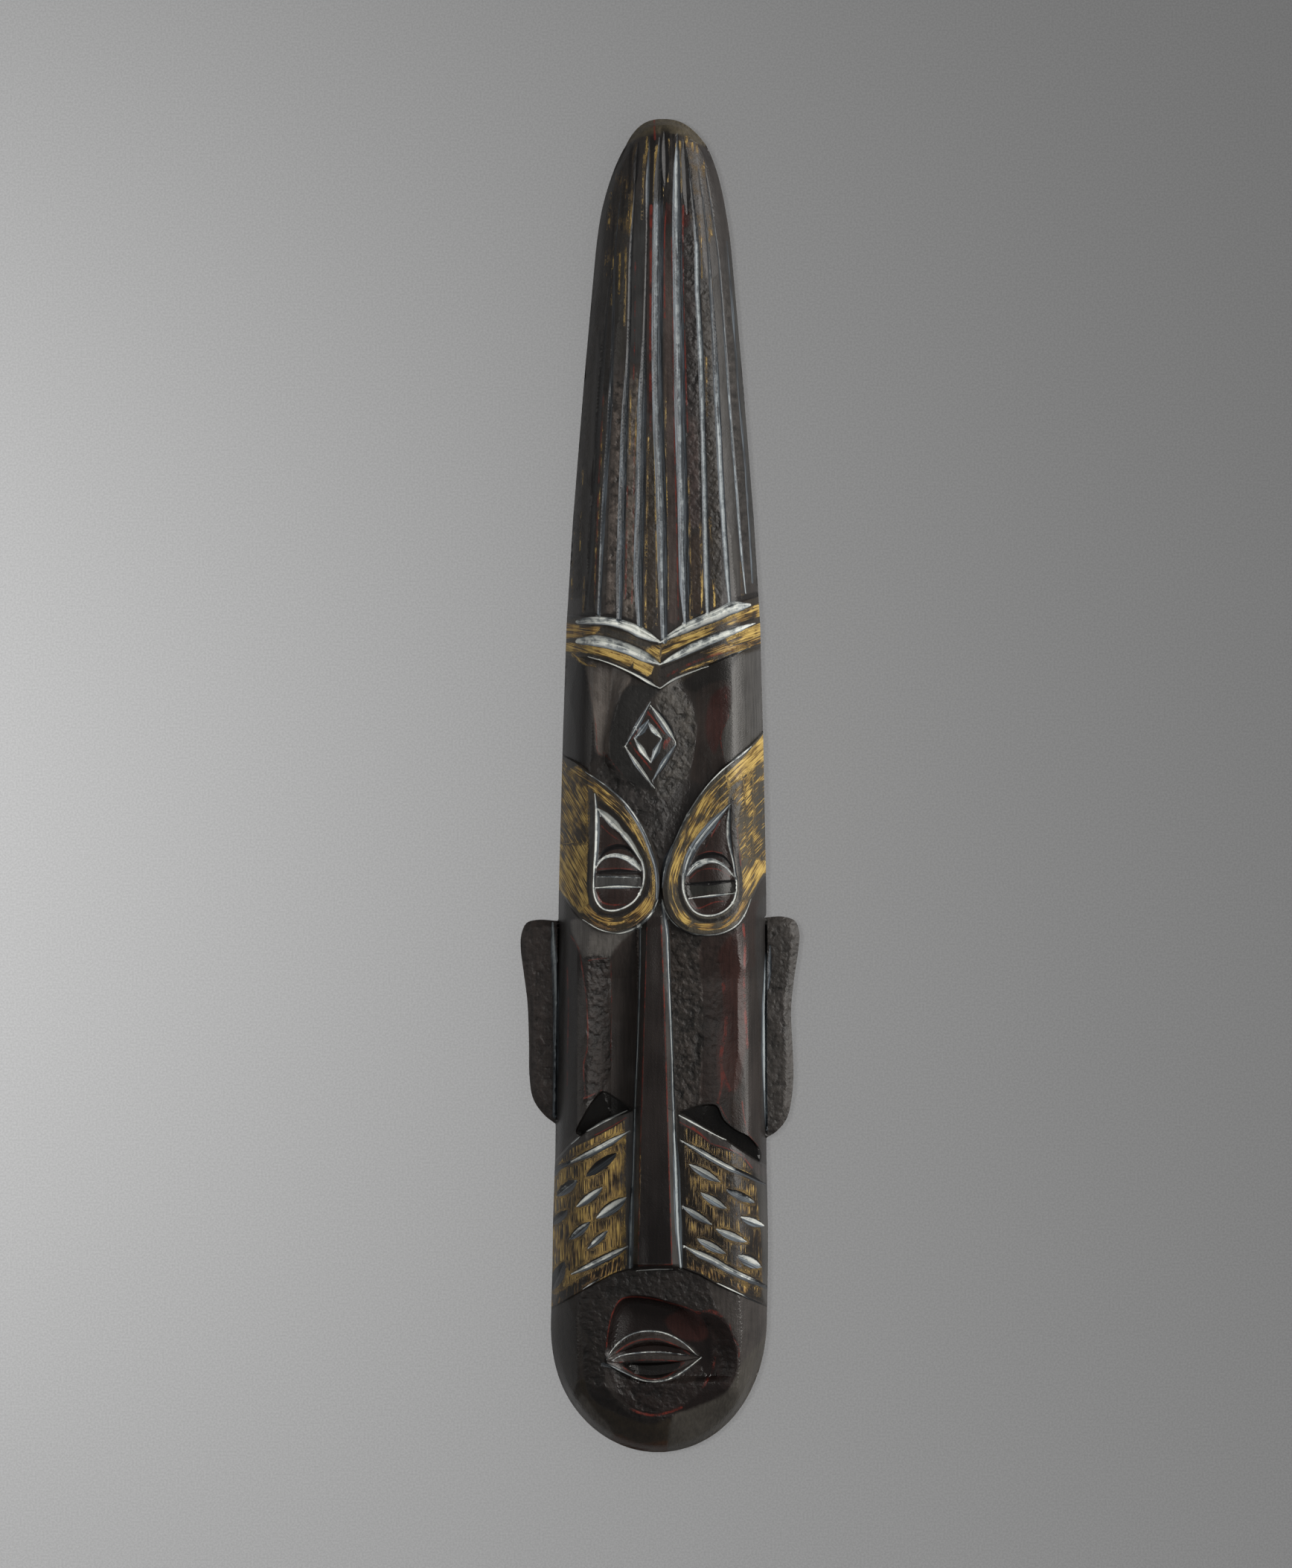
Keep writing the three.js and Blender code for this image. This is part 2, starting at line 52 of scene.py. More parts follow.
# The block of wood, as in the part. Tables hold [place along Y, size].
SIDE_WALL = 10
TIP_HALF_WIDTH = 2.2
HALF_WIDTH = [(-200, 40.5), (-165, 40.3), (-138, 39.6), (-40, 38.9), (20, 37.5), (60, 36.3), (100, 33.9),
              (155, 29.5), (250, 21)]
MIDDLE = [(-250, -0.8), (-225, -1), (-180, 0), (-40, 0.9), (60, 1.2), (215, 1.3), (240, 2.2), (250, 1.1)]
CREST = [(-250, 17), (-225, 24), (-180, 28), (-120, 29), (-55, 29.5), (0, 29), (60, 28), (130, 26.5),
         (200, 24), (250, 18)]
WOOD, SIDE_WOOD = (56, 51, 48), (46, 41, 37)
SHOULDER_REACH, SHOULDER_POWER = 26, 4
CHIN_FROM, CHIN_POWER, CHIN_ROOT = -200, 2.2, 2
CROWN_FROM, CROWN_POWER, CROWN_ROOT = 195, 2.5, 2.5

# Knife facets: where they start over the chin, their spacing across and along the block, their least distance
# in from the outline, how far each reaches and how much it lifts there, how flat they leave the block, and
# how far in from the outline they are that flat.
FACET_START, FACET_ACROSS, FACET_ALONG, FACET_MARGIN = 6, 13, 30, 1.5
FACET_REACH, FACET_LIFT, FLATNESS, FLAT_FROM = 44, 9, 0.45, 3

# Spacing of the mesh's points, in millimetres, the rows of them down the side walls, and how many a side, a
# line of the lips and an eyeball's outline are drawn with.
FILL_STEP, LINE_STEP, RIM_STEP, BACK_STEP = 0.8, 1.4, 1.1, 3.2
WALL_ROWS = 7
SIDE_POINTS, LIP_POINTS, BALL_POINTS = 700, 30, 60
SEED = 7

# How points fill a plan: their reach to each side, how far each may stray, the spacing of the rows and the
# least distances from the rim and from the lines. All but the reach are shares of the points' spacing.
FILL_REACH, FILL_JITTER, ROW_SHARE, RIM_GAP, LINE_GAP = 60, 0.16, 0.866, 0.6, 0.55

# Gaps under which points of a plan merge or are the same, and a length that stands for none in a division.
MERGE_GAP, SAME_POINT, TINY = 1e-5, 1e-4, 1e-6

# Ears: how high they stand, how much their edges fall within a distance, the height, width and length of
# their waves, their colours, the left one darker as painted shade and the right one paler as painted light,
# and their roughness, and the outline of each from its top down to the jaw.
EAR_HEIGHT, EAR_FALL, EAR_EDGE = 12, 1.8, 3
EAR_WAVE, EAR_WAVE_SIZE = 0.5, (9, 14)
EAR_SHADE_AND_LIGHT_COLOURS, EAR_ROUGHNESS = [(62, 54, 51), (68, 64, 61)], 0.5
EAR_LEFT = [(-38.7, -50.8), (-46, -50.4), (-50.2, -51.6), (-52.1, -56), (-52.3, -61), (-51.2, -70),
            (-49.8, -81), (-49.2, -96), (-49, -109), (-47.6, -117.5), (-43.5, -123.5), (-39.3, -126.8)]
EAR_RIGHT = [(38.9, -49.6), (46, -49.2), (50.6, -50.8), (52.2, -55), (51.9, -61), (50.3, -72), (49.1, -84),
             (49.6, -97), (50, -109), (49.2, -118), (47.4, -125), (43.5, -129.8), (39.8, -132)]

# Lines that triangles follow at the ears' feet: how far they end short of the ears, and their places across.
EAR_FOOT_TRIM, EAR_FOOT_LINES = 3, (-0.4, 0.2)

# Raised areas and their heights over the block.
BAND_RISE, EYE_RISE, CHEEK_PANEL_RISE = 1.6, 2.6, 1.4
EDGE_RUN = 0.7
CHEVRON_TOP = [(-40, 63.5), (-31, 63.3), (-20, 61.8), (-12, 60.2), (-6, 57.3), (0, 53.6), (8, 58.3),
               (15, 61.5), (22, 64.5), (28, 67.4), (41, 72)]
CHEVRON_FOOT = [(-40, 50), (-28, 48.3), (-18, 45.2), (-10, 41.2), (-4, 38), (0, 36.3), (6, 40.4),
                (12, 43.2), (20, 46.3), (33, 51.5), (41, 54)]
EYE_LEFT = [(-46, 13), (-36.5, 10.8), (-31, 8), (-27.5, 5), (-20, -1), (-15, -5), (-10, -10.5),
            (-6, -16.5), (-3, -23), (-0.9, -31), (-0.4, -36), (-1, -42), (-3, -46), (-6, -49.5),
            (-10, -52.5), (-15, -54.3), (-18, -54.7), (-23, -53.8), (-28, -51), (-32, -47), (-35, -42),
            (-39, -35), (-46, -31)]
EYE_RIGHT = [(46, 26), (38, 19), (33, 14), (27, 9), (22, 5), (16.5, -1.3), (13, -7), (10, -12), (7, -18),
             (5, -22.5), (2.6, -28), (1.2, -33), (0.9, -38), (1.6, -43), (3.7, -48.5), (7, -52.5),
             (11, -54.8), (16, -55.6), (20, -55.5), (25, -54.3), (29, -51.8), (31.5, -48), (34, -42),
             (38.5, -34), (46, -31)]
PANEL_LEFT = [(-7, -119.8), (-12, -122.3), (-20, -125), (-27, -129), (-33, -134), (-39, -141), (-46, -149),
              (-46, -199), (-40, -195), (-32, -190), (-25, -186), (-18, -182), (-10.5, -180), (-8, -179.6)]
PANEL_RIGHT = [(3, -120.8), (7.6, -123), (15, -127), (23, -131.5), (30, -136.5), (38, -142), (46, -148),
               (46, -199), (39.5, -194.5), (30, -190), (22, -186.5), (15, -182.5), (8.6, -180), (4.6, -179.4)]

# Long hollows: the X of the outer rim, the lowest line and the inner rim, and the share of the depth, all by
# place along Y. A brow's is full this many times the way from its outer rim to its lowest line. A cheek's has
# one share by place along X and one by place along Y.
BROW_DROP, CHEEK_DROP, BROW_RISE_END = 3.4, 9, 1.15
BROW_LEFT = {
    "outer": [(-14, -34), (10, -33), (50, -31)],
    "low": [(-12, -22), (10, -21), (45, -19)],
    "inner": [(-12, -2), (0, -7), (2, -12), (8, -18), (15, -19.3), (25, -17), (35, -14), (45, -9)],
    "drop": [(-18, 0), (-8, 0.5), (4, 0.8), (16, 1), (44, 1), (56, 0)],
}
BROW_RIGHT = {
    "outer": [(-14, 24), (6, 29), (30, 30), (50, 34)],
    "low": [(-14, 7), (0, 12), (14, 14), (30, 13.5), (38, 10), (50, 8)],
    "inner": [(-14, -2), (0, -2), (14, -2), (30, -2), (50, -2)],
    "drop": [(-22, 0), (-12, 0.3), (0, 0.6), (28, 0.7), (44, 0.7), (56, 0)],
}
CHEEK_RUN = [(-170, 0), (-150, 1), (-88, 1), (-72, 0.8), (-58, 0.25), (-50, 0)]
CHEEK_LEFT = [(-31, 0), (-28, 0.2), (-18.3, 0.85), (-9, 1)]
CHEEK_RIGHT = [(4, 1), (15.8, 0.9), (27.6, 0.32), (29, 0.245), (30.4, 0.162), (32, 0.066), (33, 0.022),
               (34.2, 0)]

# Gouges under the cheeks: how deep they start, how much they fall towards the chin, and their outlines.
GOUGE_DROP, GOUGE_FALL = 0.5, 0.2
GOUGE_LEFT = [(-31.5, -130), (-28.4, -122.6), (-24.8, -117), (-21.4, -114.2), (-16, -117), (-11, -120.5),
              (-10, -124), (-20, -127.5), (-27, -131)]
GOUGE_RIGHT = [(6, -123), (10, -121), (15, -119.5), (21, -119.5), (24, -125), (29, -129), (33, -131),
               (38, -138), (36, -143), (28, -137), (18, -131)]

# Nose: [Y, left foot, left edge, right edge, right foot, height over the crest], where its tip ends and how
# long its root is, the shape of its sides, and the waves of its top.
NOSE = [
    (-178.5, -11.2, -8.3, 4.3, 7.6, 9.4),
    (-145, -10.3, -7.4, 3.4, 6.1, 8),
    (-110, -9, -6.5, 2.4, 4.9, 6.6),
    (-80, -7.8, -5.8, 1.4, 3.7, 5),
    (-53, -7.4, -5.1, 0.5, 2.9, 3.2),
    (-49, -6.8, -4.8, 0.4, 2.2, 1.2),
]
NOSE_TIP, NOSE_LOW, NOSE_HIGH, NOSE_ROOT = -181.2, NOSE[0][0], NOSE[-1][0], 3
NOSE_SIDE_POWER, NOSE_WAVE, NOSE_WAVE_SIZE = 0.85, 0.25, (4, 22)

# Colours of the nose's top above and below, and of its right side, whose grey is painted sheen where the side
# faces the light. The top darkens between two places under the middle. The edges of both are this soft, and
# stay this close to the middle.
NOSE_TOP, NOSE_TOP_LOW, NOSE_SIDE_SHEEN = (42, 35, 33), (27, 21, 20), (84, 82, 80)
NOSE_TOP_DARKENS, NOSE_TOP_EDGE, NOSE_SIDE_EDGE, NOSE_REACH = (110, 165), 0.3, (-0.2, 0.4), 12

# Mouth: the hollow's outline and its depth by distance in from that, and the wider slope round it. The hollow
# fades out to its right, and under a slanting line at its lower left.
MOUTH_HOLLOW = [(-20.6, -213), (-19.4, -203), (-17, -195), (-13, -191), (-5, -190.6), (5, -193.3),
                (13, -196.3), (20, -197.8), (25, -202), (28, -209), (28.6, -218), (25, -226), (18, -230.5),
                (9, -234), (-2, -235.5), (-11, -232.5), (-18, -224)]
MOUTH_DEPTH = [(0, 0), (1.7, 2.9), (3.2, 4), (9, 4.5)]
MOUTH_SLOPE = [(-20.6, -213), (-19.4, -203), (-17, -195), (-13, -191), (-5, -190.6), (5, -193.3),
               (13, -195.8), (20, -196), (26, -200), (29, -207), (30.4, -214), (29, -223), (24.5, -230),
               (14, -235), (4, -238), (-5, -238.6), (-14, -234.5), (-20, -226)]
SLOPE_DROP, SLOPE_RUN = 1.8, 8
MOUTH_FADE_RIGHT, MOUTH_FADE_SHARE = (6, 15), 0.7
MOUTH_FOOT, MOUTH_FOOT_RUN = [(-18, -207), (-8, -215)], 9

# Lips: corners, heights above and below the line between them, rise, shape, and section from the lower edge
# up.
LIP_LEFT, LIP_RIGHT = (-20.8, -215), (14.8, -214)
LIP_UPPER, LIP_LOWER, LIP_RISE = 9.8, 8.6, 3.6
LIP_CURVE, LIP_SWELL, LIP_LEAST = 0.85, 0.6, 0.05
LIP_SECTION = [(-1, 0.2), (-0.86, 0.95), (-0.72, 0.15), (-0.3, 0.05), (-0.16, 0.7), (0.12, 0.78),
               (0.2, 0.1), (0.5, 0.15), (0.66, 0.9), (0.86, 1), (1, 0.25)]

# Eyes: teardrops from their tips, and eyeballs with their middle, half sizes, heights of the slits and slope.
TEAR_LEFT = [(-23.6, -8), (-24.4, -20), (-25, -32), (-25, -40), (-23.5, -44.6), (-20, -46.6), (-15, -46.3),
             (-10.5, -43.5), (-7, -39), (-6, -34), (-6.6, -29), (-9, -24), (-13, -18.5), (-18, -12.8)]
TEAR_RIGHT = [(26.3, -6.5), (19.3, -14.5), (14.3, -20.5), (10.8, -26), (9.1, -31), (8.8, -37), (10.2, -43),
              (13, -47.1), (17, -48.5), (22, -48), (26.4, -45), (28.3, -40), (28.5, -33), (27.6, -26),
              (26.9, -18), (26.6, -12)]
BALL_LEFT = {"at": (-15.6, -35.6), "half": (9, 10.4), "slits": [-33.2, -38], "slope": 0}
BALL_RIGHT = {"at": (18.7, -37.6), "half": (9.4, 9.8), "slits": [-36.6, -41], "slope": 0.07}
BALL_BULGE, BALL_POWER, SOCKET_DROP, SOCKET_RUN = 1.3, 0.8, 1.1, 2.5
SLIT_DROP, SLIT_EDGE = 0.7, (0.6, 0.2)

# Trough in the back: [Y, half width, depth], and its section as shares of both.
TROUGH = [(-226, 12, 4), (-214, 22, 9), (-190, 27, 13), (-60, 27, 15), (40, 25, 15), (130, 20, 13),
          (200, 14, 9), (218, 8, 4)]
TROUGH_SECTION = [(0, 1), (0.55, 0.92), (0.92, 0.45), (1, 0)]
TROUGH_MIDDLE = (-220, 210)
TROUGH_WAVE, TROUGH_WAVE_SIZE, TROUGH_WAVE_FADE = 0.35, (7, 11), (0.5, 4)

# Side walls: the depth of their hollows, how many there are round the block and down it, and their roughness.
WALL_HOLLOW, WALL_WAVES, SIDE_ROUGHNESS = 0.22, (90, 3), 0.3

# Rough areas: [size, turn in radians, share of the height, seed] of their chips, their warp, and their dents.
CHIPS = [(2.5, 0.25, 0.4, 11), (1.5, -0.4, 0.45, 41), (0.9, 1.1, 0.35, 61)]
CHIP_HEIGHT, CHIP_STRETCH, CHIP_WARP, CHIP_WARP_SIZE = 0.5, 1.4, 0.5, 5
DENT_SIZE, DENT_LIMIT, DENT_DEPTH = 2, 0.45, 1.6

# Paint: what a point without any holds, and how deep in a stroke it covers the others of its kind.
UNPAINTED, COVERS_FROM = (-5.0, 0, 0), 0.5

# Cuts: the half width under which edges have no line of their own and the least one, how far the bristle
# marks reach past a cut and their scale along and across it, how far past its walls paint is told apart, and
# the steepness of two kinds. Then the spacing of a leaf's points, its shape and its least half width.
THIN_CUT, CUT_LEAST, CUT_MARGIN, CUT_HAIRS, ACROSS_LIMIT = 0.3, 0.01, 0.6, (0.09, 1.2), 1.5
FLUTE_STEEP, LEAF_STEEP = 0.6, 0.9
LEAF_STEP, LEAF_POWER, LEAF_LEAST = 0.9, 0.7, 0.02

# Gold: how much of a stroke's gold the brush leaves, how far its bristle marks reach past it, and their scale
# along it.
GOLD_DRYNESS, BRUSH_MARGIN, GOLD_HAIRS = 0.62, 0.4, 0.25

# Zones and ribs: the spacing of a zone's points, and how softly their colours end.
ZONE_STEP, ZONE_EDGE = 1.6, 0.5
RIB_EDGE, RIB_END = (-0.5, 0.3), 0.15

# Seeds of the waves, each for one place.
EAR_SEED, NOSE_SEED, DENT_SEED, WALL_SEED, TROUGH_SEED = 3, 5, 16, 21, 31



# Colours, from what the eye sees to what a shader takes.
def linear(red, green, blue):
    """Linear values of an 8-bit screen colour."""
    screen = np.array([red, green, blue]) / 255
    return np.where(screen <= 0.04045, screen / 12.92, ((screen + 0.055) / 1.055) ** 2.4)


# Tables and lines.
def read(table, at):
    """The straight-line reading of a table."""
    places, values = zip(*table)
    return np.interp(at, places, values)


def straight(points, step=LINE_STEP, closed=False):
    """Points about a step apart on straight lines between a few."""
    corners = np.array(list(points) + list(points[:1] if closed else []), float)
    found = [corners[:1]]
    for start, end in zip(corners, corners[1:]):
        count = max(1, round(np.hypot(*(end - start)) / step))
        found.append(start + (end - start) * np.linspace(0, 1, count + 1)[1:, None])
    return np.vstack(found)


def smooth(points, step=LINE_STEP, closed=False):
    """Points about a step apart on a smooth line through a few."""
    corners = np.array(points, float)
    before, after = 2 * corners[0] - corners[1], 2 * corners[-1] - corners[-2]
    ring = [corners[-1], *corners, corners[0], corners[1]] if closed else [before, *corners, after]
    found = [ring[1][None]]
    for a, b, c, d in zip(ring, ring[1:], ring[2:], ring[3:]):
        gap1, gap2, gap3 = (max(np.hypot(*(q - p)), TINY) ** 0.5 for p, q in ((a, b), (b, c), (c, d)))
        lead = c - b + gap2 * ((b - a) / gap1 - (c - a) / (gap1 + gap2))
        tail = c - b + gap2 * ((d - c) / gap3 - (d - b) / (gap2 + gap3))
        count = max(1, round(np.hypot(*(c - b)) / step))
        t = np.linspace(0, 1, count + 1)[1:, None]
        curve = (2 * t ** 3 - 3 * t ** 2 + 1) * b + (t ** 3 - 2 * t ** 2 + t) * lead
        found.append(curve + (3 * t ** 2 - 2 * t ** 3) * c + (t ** 3 - t ** 2) * tail)
    return np.vstack(found)


def normals(line):
    """Unit vectors to the left of a line, at its points."""
    if np.allclose(line[0], line[-1]):
        ahead = np.roll(line[:-1], -1, 0) - np.roll(line[:-1], 1, 0)
        ahead = np.vstack([ahead, ahead[:1]])
    else:
        ahead = np.gradient(line, axis=0)
    left = np.stack([-ahead[:, 1], ahead[:, 0]], 1)
    return left / np.maximum(np.hypot(*left.T), TINY)[:, None]


def beside(line, distance):
    """The line moved to its left, by one distance or by one for each point."""
    return line + normals(line) * np.broadcast_to(distance, len(line))[:, None]


def turn(line):
    """1 for a closed line with its inside on the left, -1 for one with its inside on the right."""
    x, y = line[:-1].T
    return np.sign(np.sum(x * np.roll(y, -1) - y * np.roll(x, -1)))


def shares(line):
    """How far along the line each of its points is, from 0 to 1."""
    run = np.concatenate([[0], np.cumsum(np.hypot(*np.diff(line, axis=0).T))])
    return run / run[-1]


def span(line):
    """The length of a line."""
    return np.hypot(*np.diff(line, axis=0).T).sum()


def spaced(line, step):
    """The same line with its points evenly spaced."""
    place = shares(line)
    at = np.linspace(0, 1, round(span(line) / step) + 1)
    return np.stack([np.interp(at, place, line[:, 0]), np.interp(at, place, line[:, 1])], 1)


def coarse(line, every=4):
    """A closed line with fewer points."""
    return np.vstack([line[:-1:every], line[-1:]])


def nearest(line, x, y):
    """The nearest place on a line: its distance, positive to the line's left, and its share of the length."""
    best = np.full(x.shape, np.inf)
    share = np.zeros(x.shape)
    left = np.zeros(x.shape)
    places = shares(line)
    for (ax, ay), (bx, by), first, last in zip(line, line[1:], places, places[1:]):
        dx, dy = bx - ax, by - ay
        t = np.clip(((x - ax) * dx + (y - ay) * dy) / max(dx * dx + dy * dy, TINY ** 2), 0, 1)
        ex, ey = x - ax - t * dx, y - ay - t * dy
        gap = ex * ex + ey * ey
        closer = gap < best
        best = np.where(closer, gap, best)
        share = np.where(closer, first + t * (last - first), share)
        left = np.where(closer, dx * ey - dy * ex, left)
    return np.sqrt(best) * np.where(left < 0, -1, 1), share


def inside(line, x, y):
    """Distance in from a closed line, negative outside it."""
    crossings = np.zeros(x.shape, bool)
    for (ax, ay), (bx, by) in zip(line, line[1:]):
        if ay != by:
            spans = (ay > y) != (by > y)
            crossings ^= spans & (x < ax + (y - ay) * (bx - ax) / (by - ay))
    return np.abs(nearest(line, x, y)[0]) * np.where(crossings, 1, -1)


def fade(value, start, end):
    """0 at start and 1 at end, and smooth between."""
    t = np.clip((value - start) / (end - start), 0, 1)
    return t * t * (3 - 2 * t)


def waves(x, y, seed):
    """Smooth irregular waves from -1 to 1, with a hill or a hollow about every unit."""
    size = 64
    grid = np.random.default_rng(seed).uniform(-1, 1, (size, size))
    column, row = np.floor(x).astype(int), np.floor(y).astype(int)
    across, up = fade(x - column, 0, 1), fade(y - row, 0, 1)
    corner = [grid[(column + i) % size, (row + j) % size] for i, j in ((0, 0), (1, 0), (0, 1), (1, 1))]
    low = corner[0] + (corner[1] - corner[0]) * across
    high = corner[2] + (corner[3] - corner[2]) * across
    return low + (high - low) * up


def by_share(value):
    """A table by share of the length, from one value, a tuple of evenly spaced values or the table itself."""
    if isinstance(value, list):
        return value
    values = value if isinstance(value, tuple) else (value, value)
    return list(zip(np.linspace(0, 1, len(values)), values))


# The block's outline and the height of its rounded top.
def round_end(y, start, power, root):
    """The share of the width that is left where the block rounds off from a place towards its end."""
    t = np.clip((y - start) / (np.sign(start) * LENGTH / 2 - start), 0, 1)
    return (1 - t ** power) ** (1 / root)


def half_width(y):
    """Half the block's width at places along Y."""
    width = read(HALF_WIDTH, y) * round_end(y, CHIN_FROM, CHIN_POWER, CHIN_ROOT)
    return np.maximum(width * round_end(y, CROWN_FROM, CROWN_POWER, CROWN_ROOT), TIP_HALF_WIDTH)


def side(sign, low, high):
    """A side of the block between two places along Y, with points closer together at the round ends."""
    angle = np.linspace(0, np.pi, SIDE_POINTS)
    y = -np.cos(angle) * LENGTH / 2
    y = y[(y >= low) & (y <= high)]
    return np.stack([read(MIDDLE, y) + sign * half_width(y), y], 1)


def outline(ears):
    """The outline of the block, with or without its ears, round from the chin by the right side."""
    end = LENGTH / 2
    if not ears:
        loop = [side(1, -end, end), side(-1, -end, end)[::-1]]
    else:
        right, left = smooth(EAR_RIGHT, 1)[::-1], smooth(EAR_LEFT, 1)
        loop = [side(1, -end, right[0][1]), right, side(1, right[-1][1], end),
                side(-1, left[0][1], end)[::-1], left, side(-1, -end, left[-1][1])[::-1]]
    loop = np.vstack(loop)
    return spaced(np.vstack([loop, loop[:1]]), RIM_STEP)


BODY = outline(ears=False)
RIM = outline(ears=True)


def dome(x, y, depth):
    """Height of the block's rounded top, by place and distance in from the outline."""
    share = 1 - (1 - np.clip(depth / SHOULDER_REACH, 0, 1)) ** SHOULDER_POWER
    return SIDE_WALL + (read(CREST, y) - SIDE_WALL) * share


# The front as its features find it: a plan of lines, then points with a height and paint.
class Plan:
    """A surface seen from above, as the lines that its triangles follow."""

    def __init__(self):
        self.points = []
        self.edges = []
        self.sharp = set()

    def follow(self, line, sharp=True):
        """Add a line, which may be a sharp edge of the surface."""
        start = len(self.points)
        self.points.extend(map(tuple, line))
        added = range(len(self.edges), len(self.edges) + len(line) - 1)
        self.edges.extend((start + i, start + i + 1) for i in range(len(line) - 1))
        if sharp:
            self.sharp.update(added)

    def triangles(self, rim, step):
        """Points, triangles and sharp edges of the plan, filled with points about a step apart."""
        rng = np.random.default_rng(SEED)
        ring = [tuple(point) for point in rim[:-1]]
        tree = kdtree.KDTree(len(ring) + len(self.points))
        for i, (x, y) in enumerate(ring + self.points):
            tree.insert((x, y, 0), i)
        tree.balance()
        rows = np.arange(-LENGTH / 2, LENGTH / 2, step * ROW_SHARE)
        columns = np.arange(-FILL_REACH, FILL_REACH, step)
        x = columns[None, :] + step / 2 * (np.arange(len(rows)) % 2)[:, None]
        y = np.broadcast_to(rows[:, None], x.shape)
        x, y = (v.ravel() + rng.uniform(-FILL_JITTER, FILL_JITTER, v.size) * step for v in (x, y))
        keep = inside(coarse(rim), x, y) > step * RIM_GAP
        fill = [(a, b) for a, b in zip(x[keep], y[keep]) if tree.find((a, b, 0))[2] > step * LINE_GAP]
        first = len(ring)
        points = [Vector(p) for p in ring + self.points + fill]
        edges = [(first + a, first + b) for a, b in self.edges]
        places, cuts, faces, _, sources, owners = geometry.delaunay_2d_cdt(
            points, edges, [list(range(first))], 1, MERGE_GAP)
        faces = [face for face, owner in zip(faces, owners) if owner]
        used = sorted({corner for face in faces for corner in face})
        number = {old: new for new, old in enumerate(used)}
        sharp = [(number[a], number[b]) for (a, b), origins in zip(cuts, sources)
                 if a in number and b in number and not self.sharp.isdisjoint(origins)]
        faces = [tuple(number[corner] for corner in face) for face in faces]
        return np.array([tuple(places[old]) for old in used]), faces, sharp


class Front:
    """The front's points: their place, height and paint."""

    def __init__(self, places):
        self.x, self.y = places.T
        count = len(places)
        self.body = inside(coarse(BODY, 3), self.x, self.y)
        self.z = np.zeros(count)
        self.tone = np.tile(linear(*WOOD), (count, 1))
        self.rough = np.zeros(count)
        self.paint = {kind: np.tile(UNPAINTED, (count, 1)) for kind in ("white", "gold", "red", "dark")}
        self.look = np.zeros((count, 3))
        self.sheen_film = np.zeros((count, 3))
        self.stroke = np.stack([self.y, self.x, np.zeros(count)], 1)

    def near(self, line, reach=3.0):
        """The numbers of the points in the box round a line."""
        low, high = line.min(0) - reach, line.max(0) + reach
        return np.flatnonzero((self.x > low[0]) & (self.x < high[0]) & (self.y > low[1]) & (self.y < high[1]))

    def tint(self, at, colour, share):
        """Bring some points' colour closer to another, by a share: the wood's own colours, painted sheen and
        painted shade.
        """
        self.tone[at] += (colour - self.tone[at]) * share[:, None]

    def roughen(self, at, rough, share):
        """Bring some points closer to a roughness, by a share."""
        self.rough[at] += (rough - self.rough[at]) * share

    def brush(self, kind, at, depth, amount, shade=0.0):
        """Paint at some points: how deep in the stroke they are, how much of it, and its shade."""
        held = self.paint[kind][at]
        new = np.stack([depth, np.broadcast_to(amount, depth.shape), np.broadcast_to(shade, depth.shape)], 1)
        over = (depth > held[:, 0]) | (depth > COVERS_FROM)
        self.paint[kind][at] = np.where(over[:, None], new, held)

    def comb(self, at, close, along, across, seed):
        """Lay the brush's hairs at those of some points that are close."""
        hairs = np.stack([along, across, np.full(along.shape, seed)], 1)
        self.stroke[at[close]] = hairs[close]


# The way to the light across the front, and how a cut is painted across its width, which runs from -1 on the
# side away from the light to 1 on the side towards it: the place and half width of the bright line, how much
# thin bluish white, white paint with painted sheen, the sides towards the light and away from it have, and
# how white the bright line is. Where a cut holds no white, it shows painted shade.
LIGHT_WAY = np.array([0.5, 0.87])
LOOKS = {
    "line": (0, 0.6, 0.4, 0.5, 1),
    "thread": (0, 0.24, 0.8, 0.8, 0.5),
    "soft": (0, 0.5, 0.6, 0.7, 0.2),
    "flute": (-0.15, 0.35, 0.8, 0.8, 0.3),
    "grey": (3, 0.1, 0.85, 0.85, 0),
    "leaf": (0.1, 0.42, 0.35, 0.8, 0.9),
    "cut": (0.3, 0.42, 0, 0.75, 1),
    "groove": (0.2, 0.5, 0, 0.7, 1),
    "band": (0.1, 0.85, 0.4, 0.9, 1),
    "shine": (-0.3, 0.5, 0.75, 0, 0.8),
    "sheen_film": (3, 0.1, 0, 0.75, 0),
    "dark": (3, 0.1, 0, 0, 0),
}


def tips(half, start, end):
    """Half widths of a cut that is wide in its middle and narrow at its ends."""
    return start * half, 0.85 * half, half, 0.85 * half, end * half


def lens(start, end, half):
    """A cut from one point to another, widest in its middle: its line and its half widths."""
    line = straight([start, end], LEAF_STEP)
    return line, [(s, max(half * np.sin(np.pi * s) ** LEAF_POWER, LEAF_LEAST)) for s in shares(line)]


# The kinds of cuts and paint. Half widths and amounts are as by_share takes them.
class Feature:
    """Something carved or painted on the front."""

    def trace(self, plan):
        """Give the plan the lines that triangles have to follow, if there are any."""

    def carve(self, front):
        """Change the height or the paint of the front's points."""


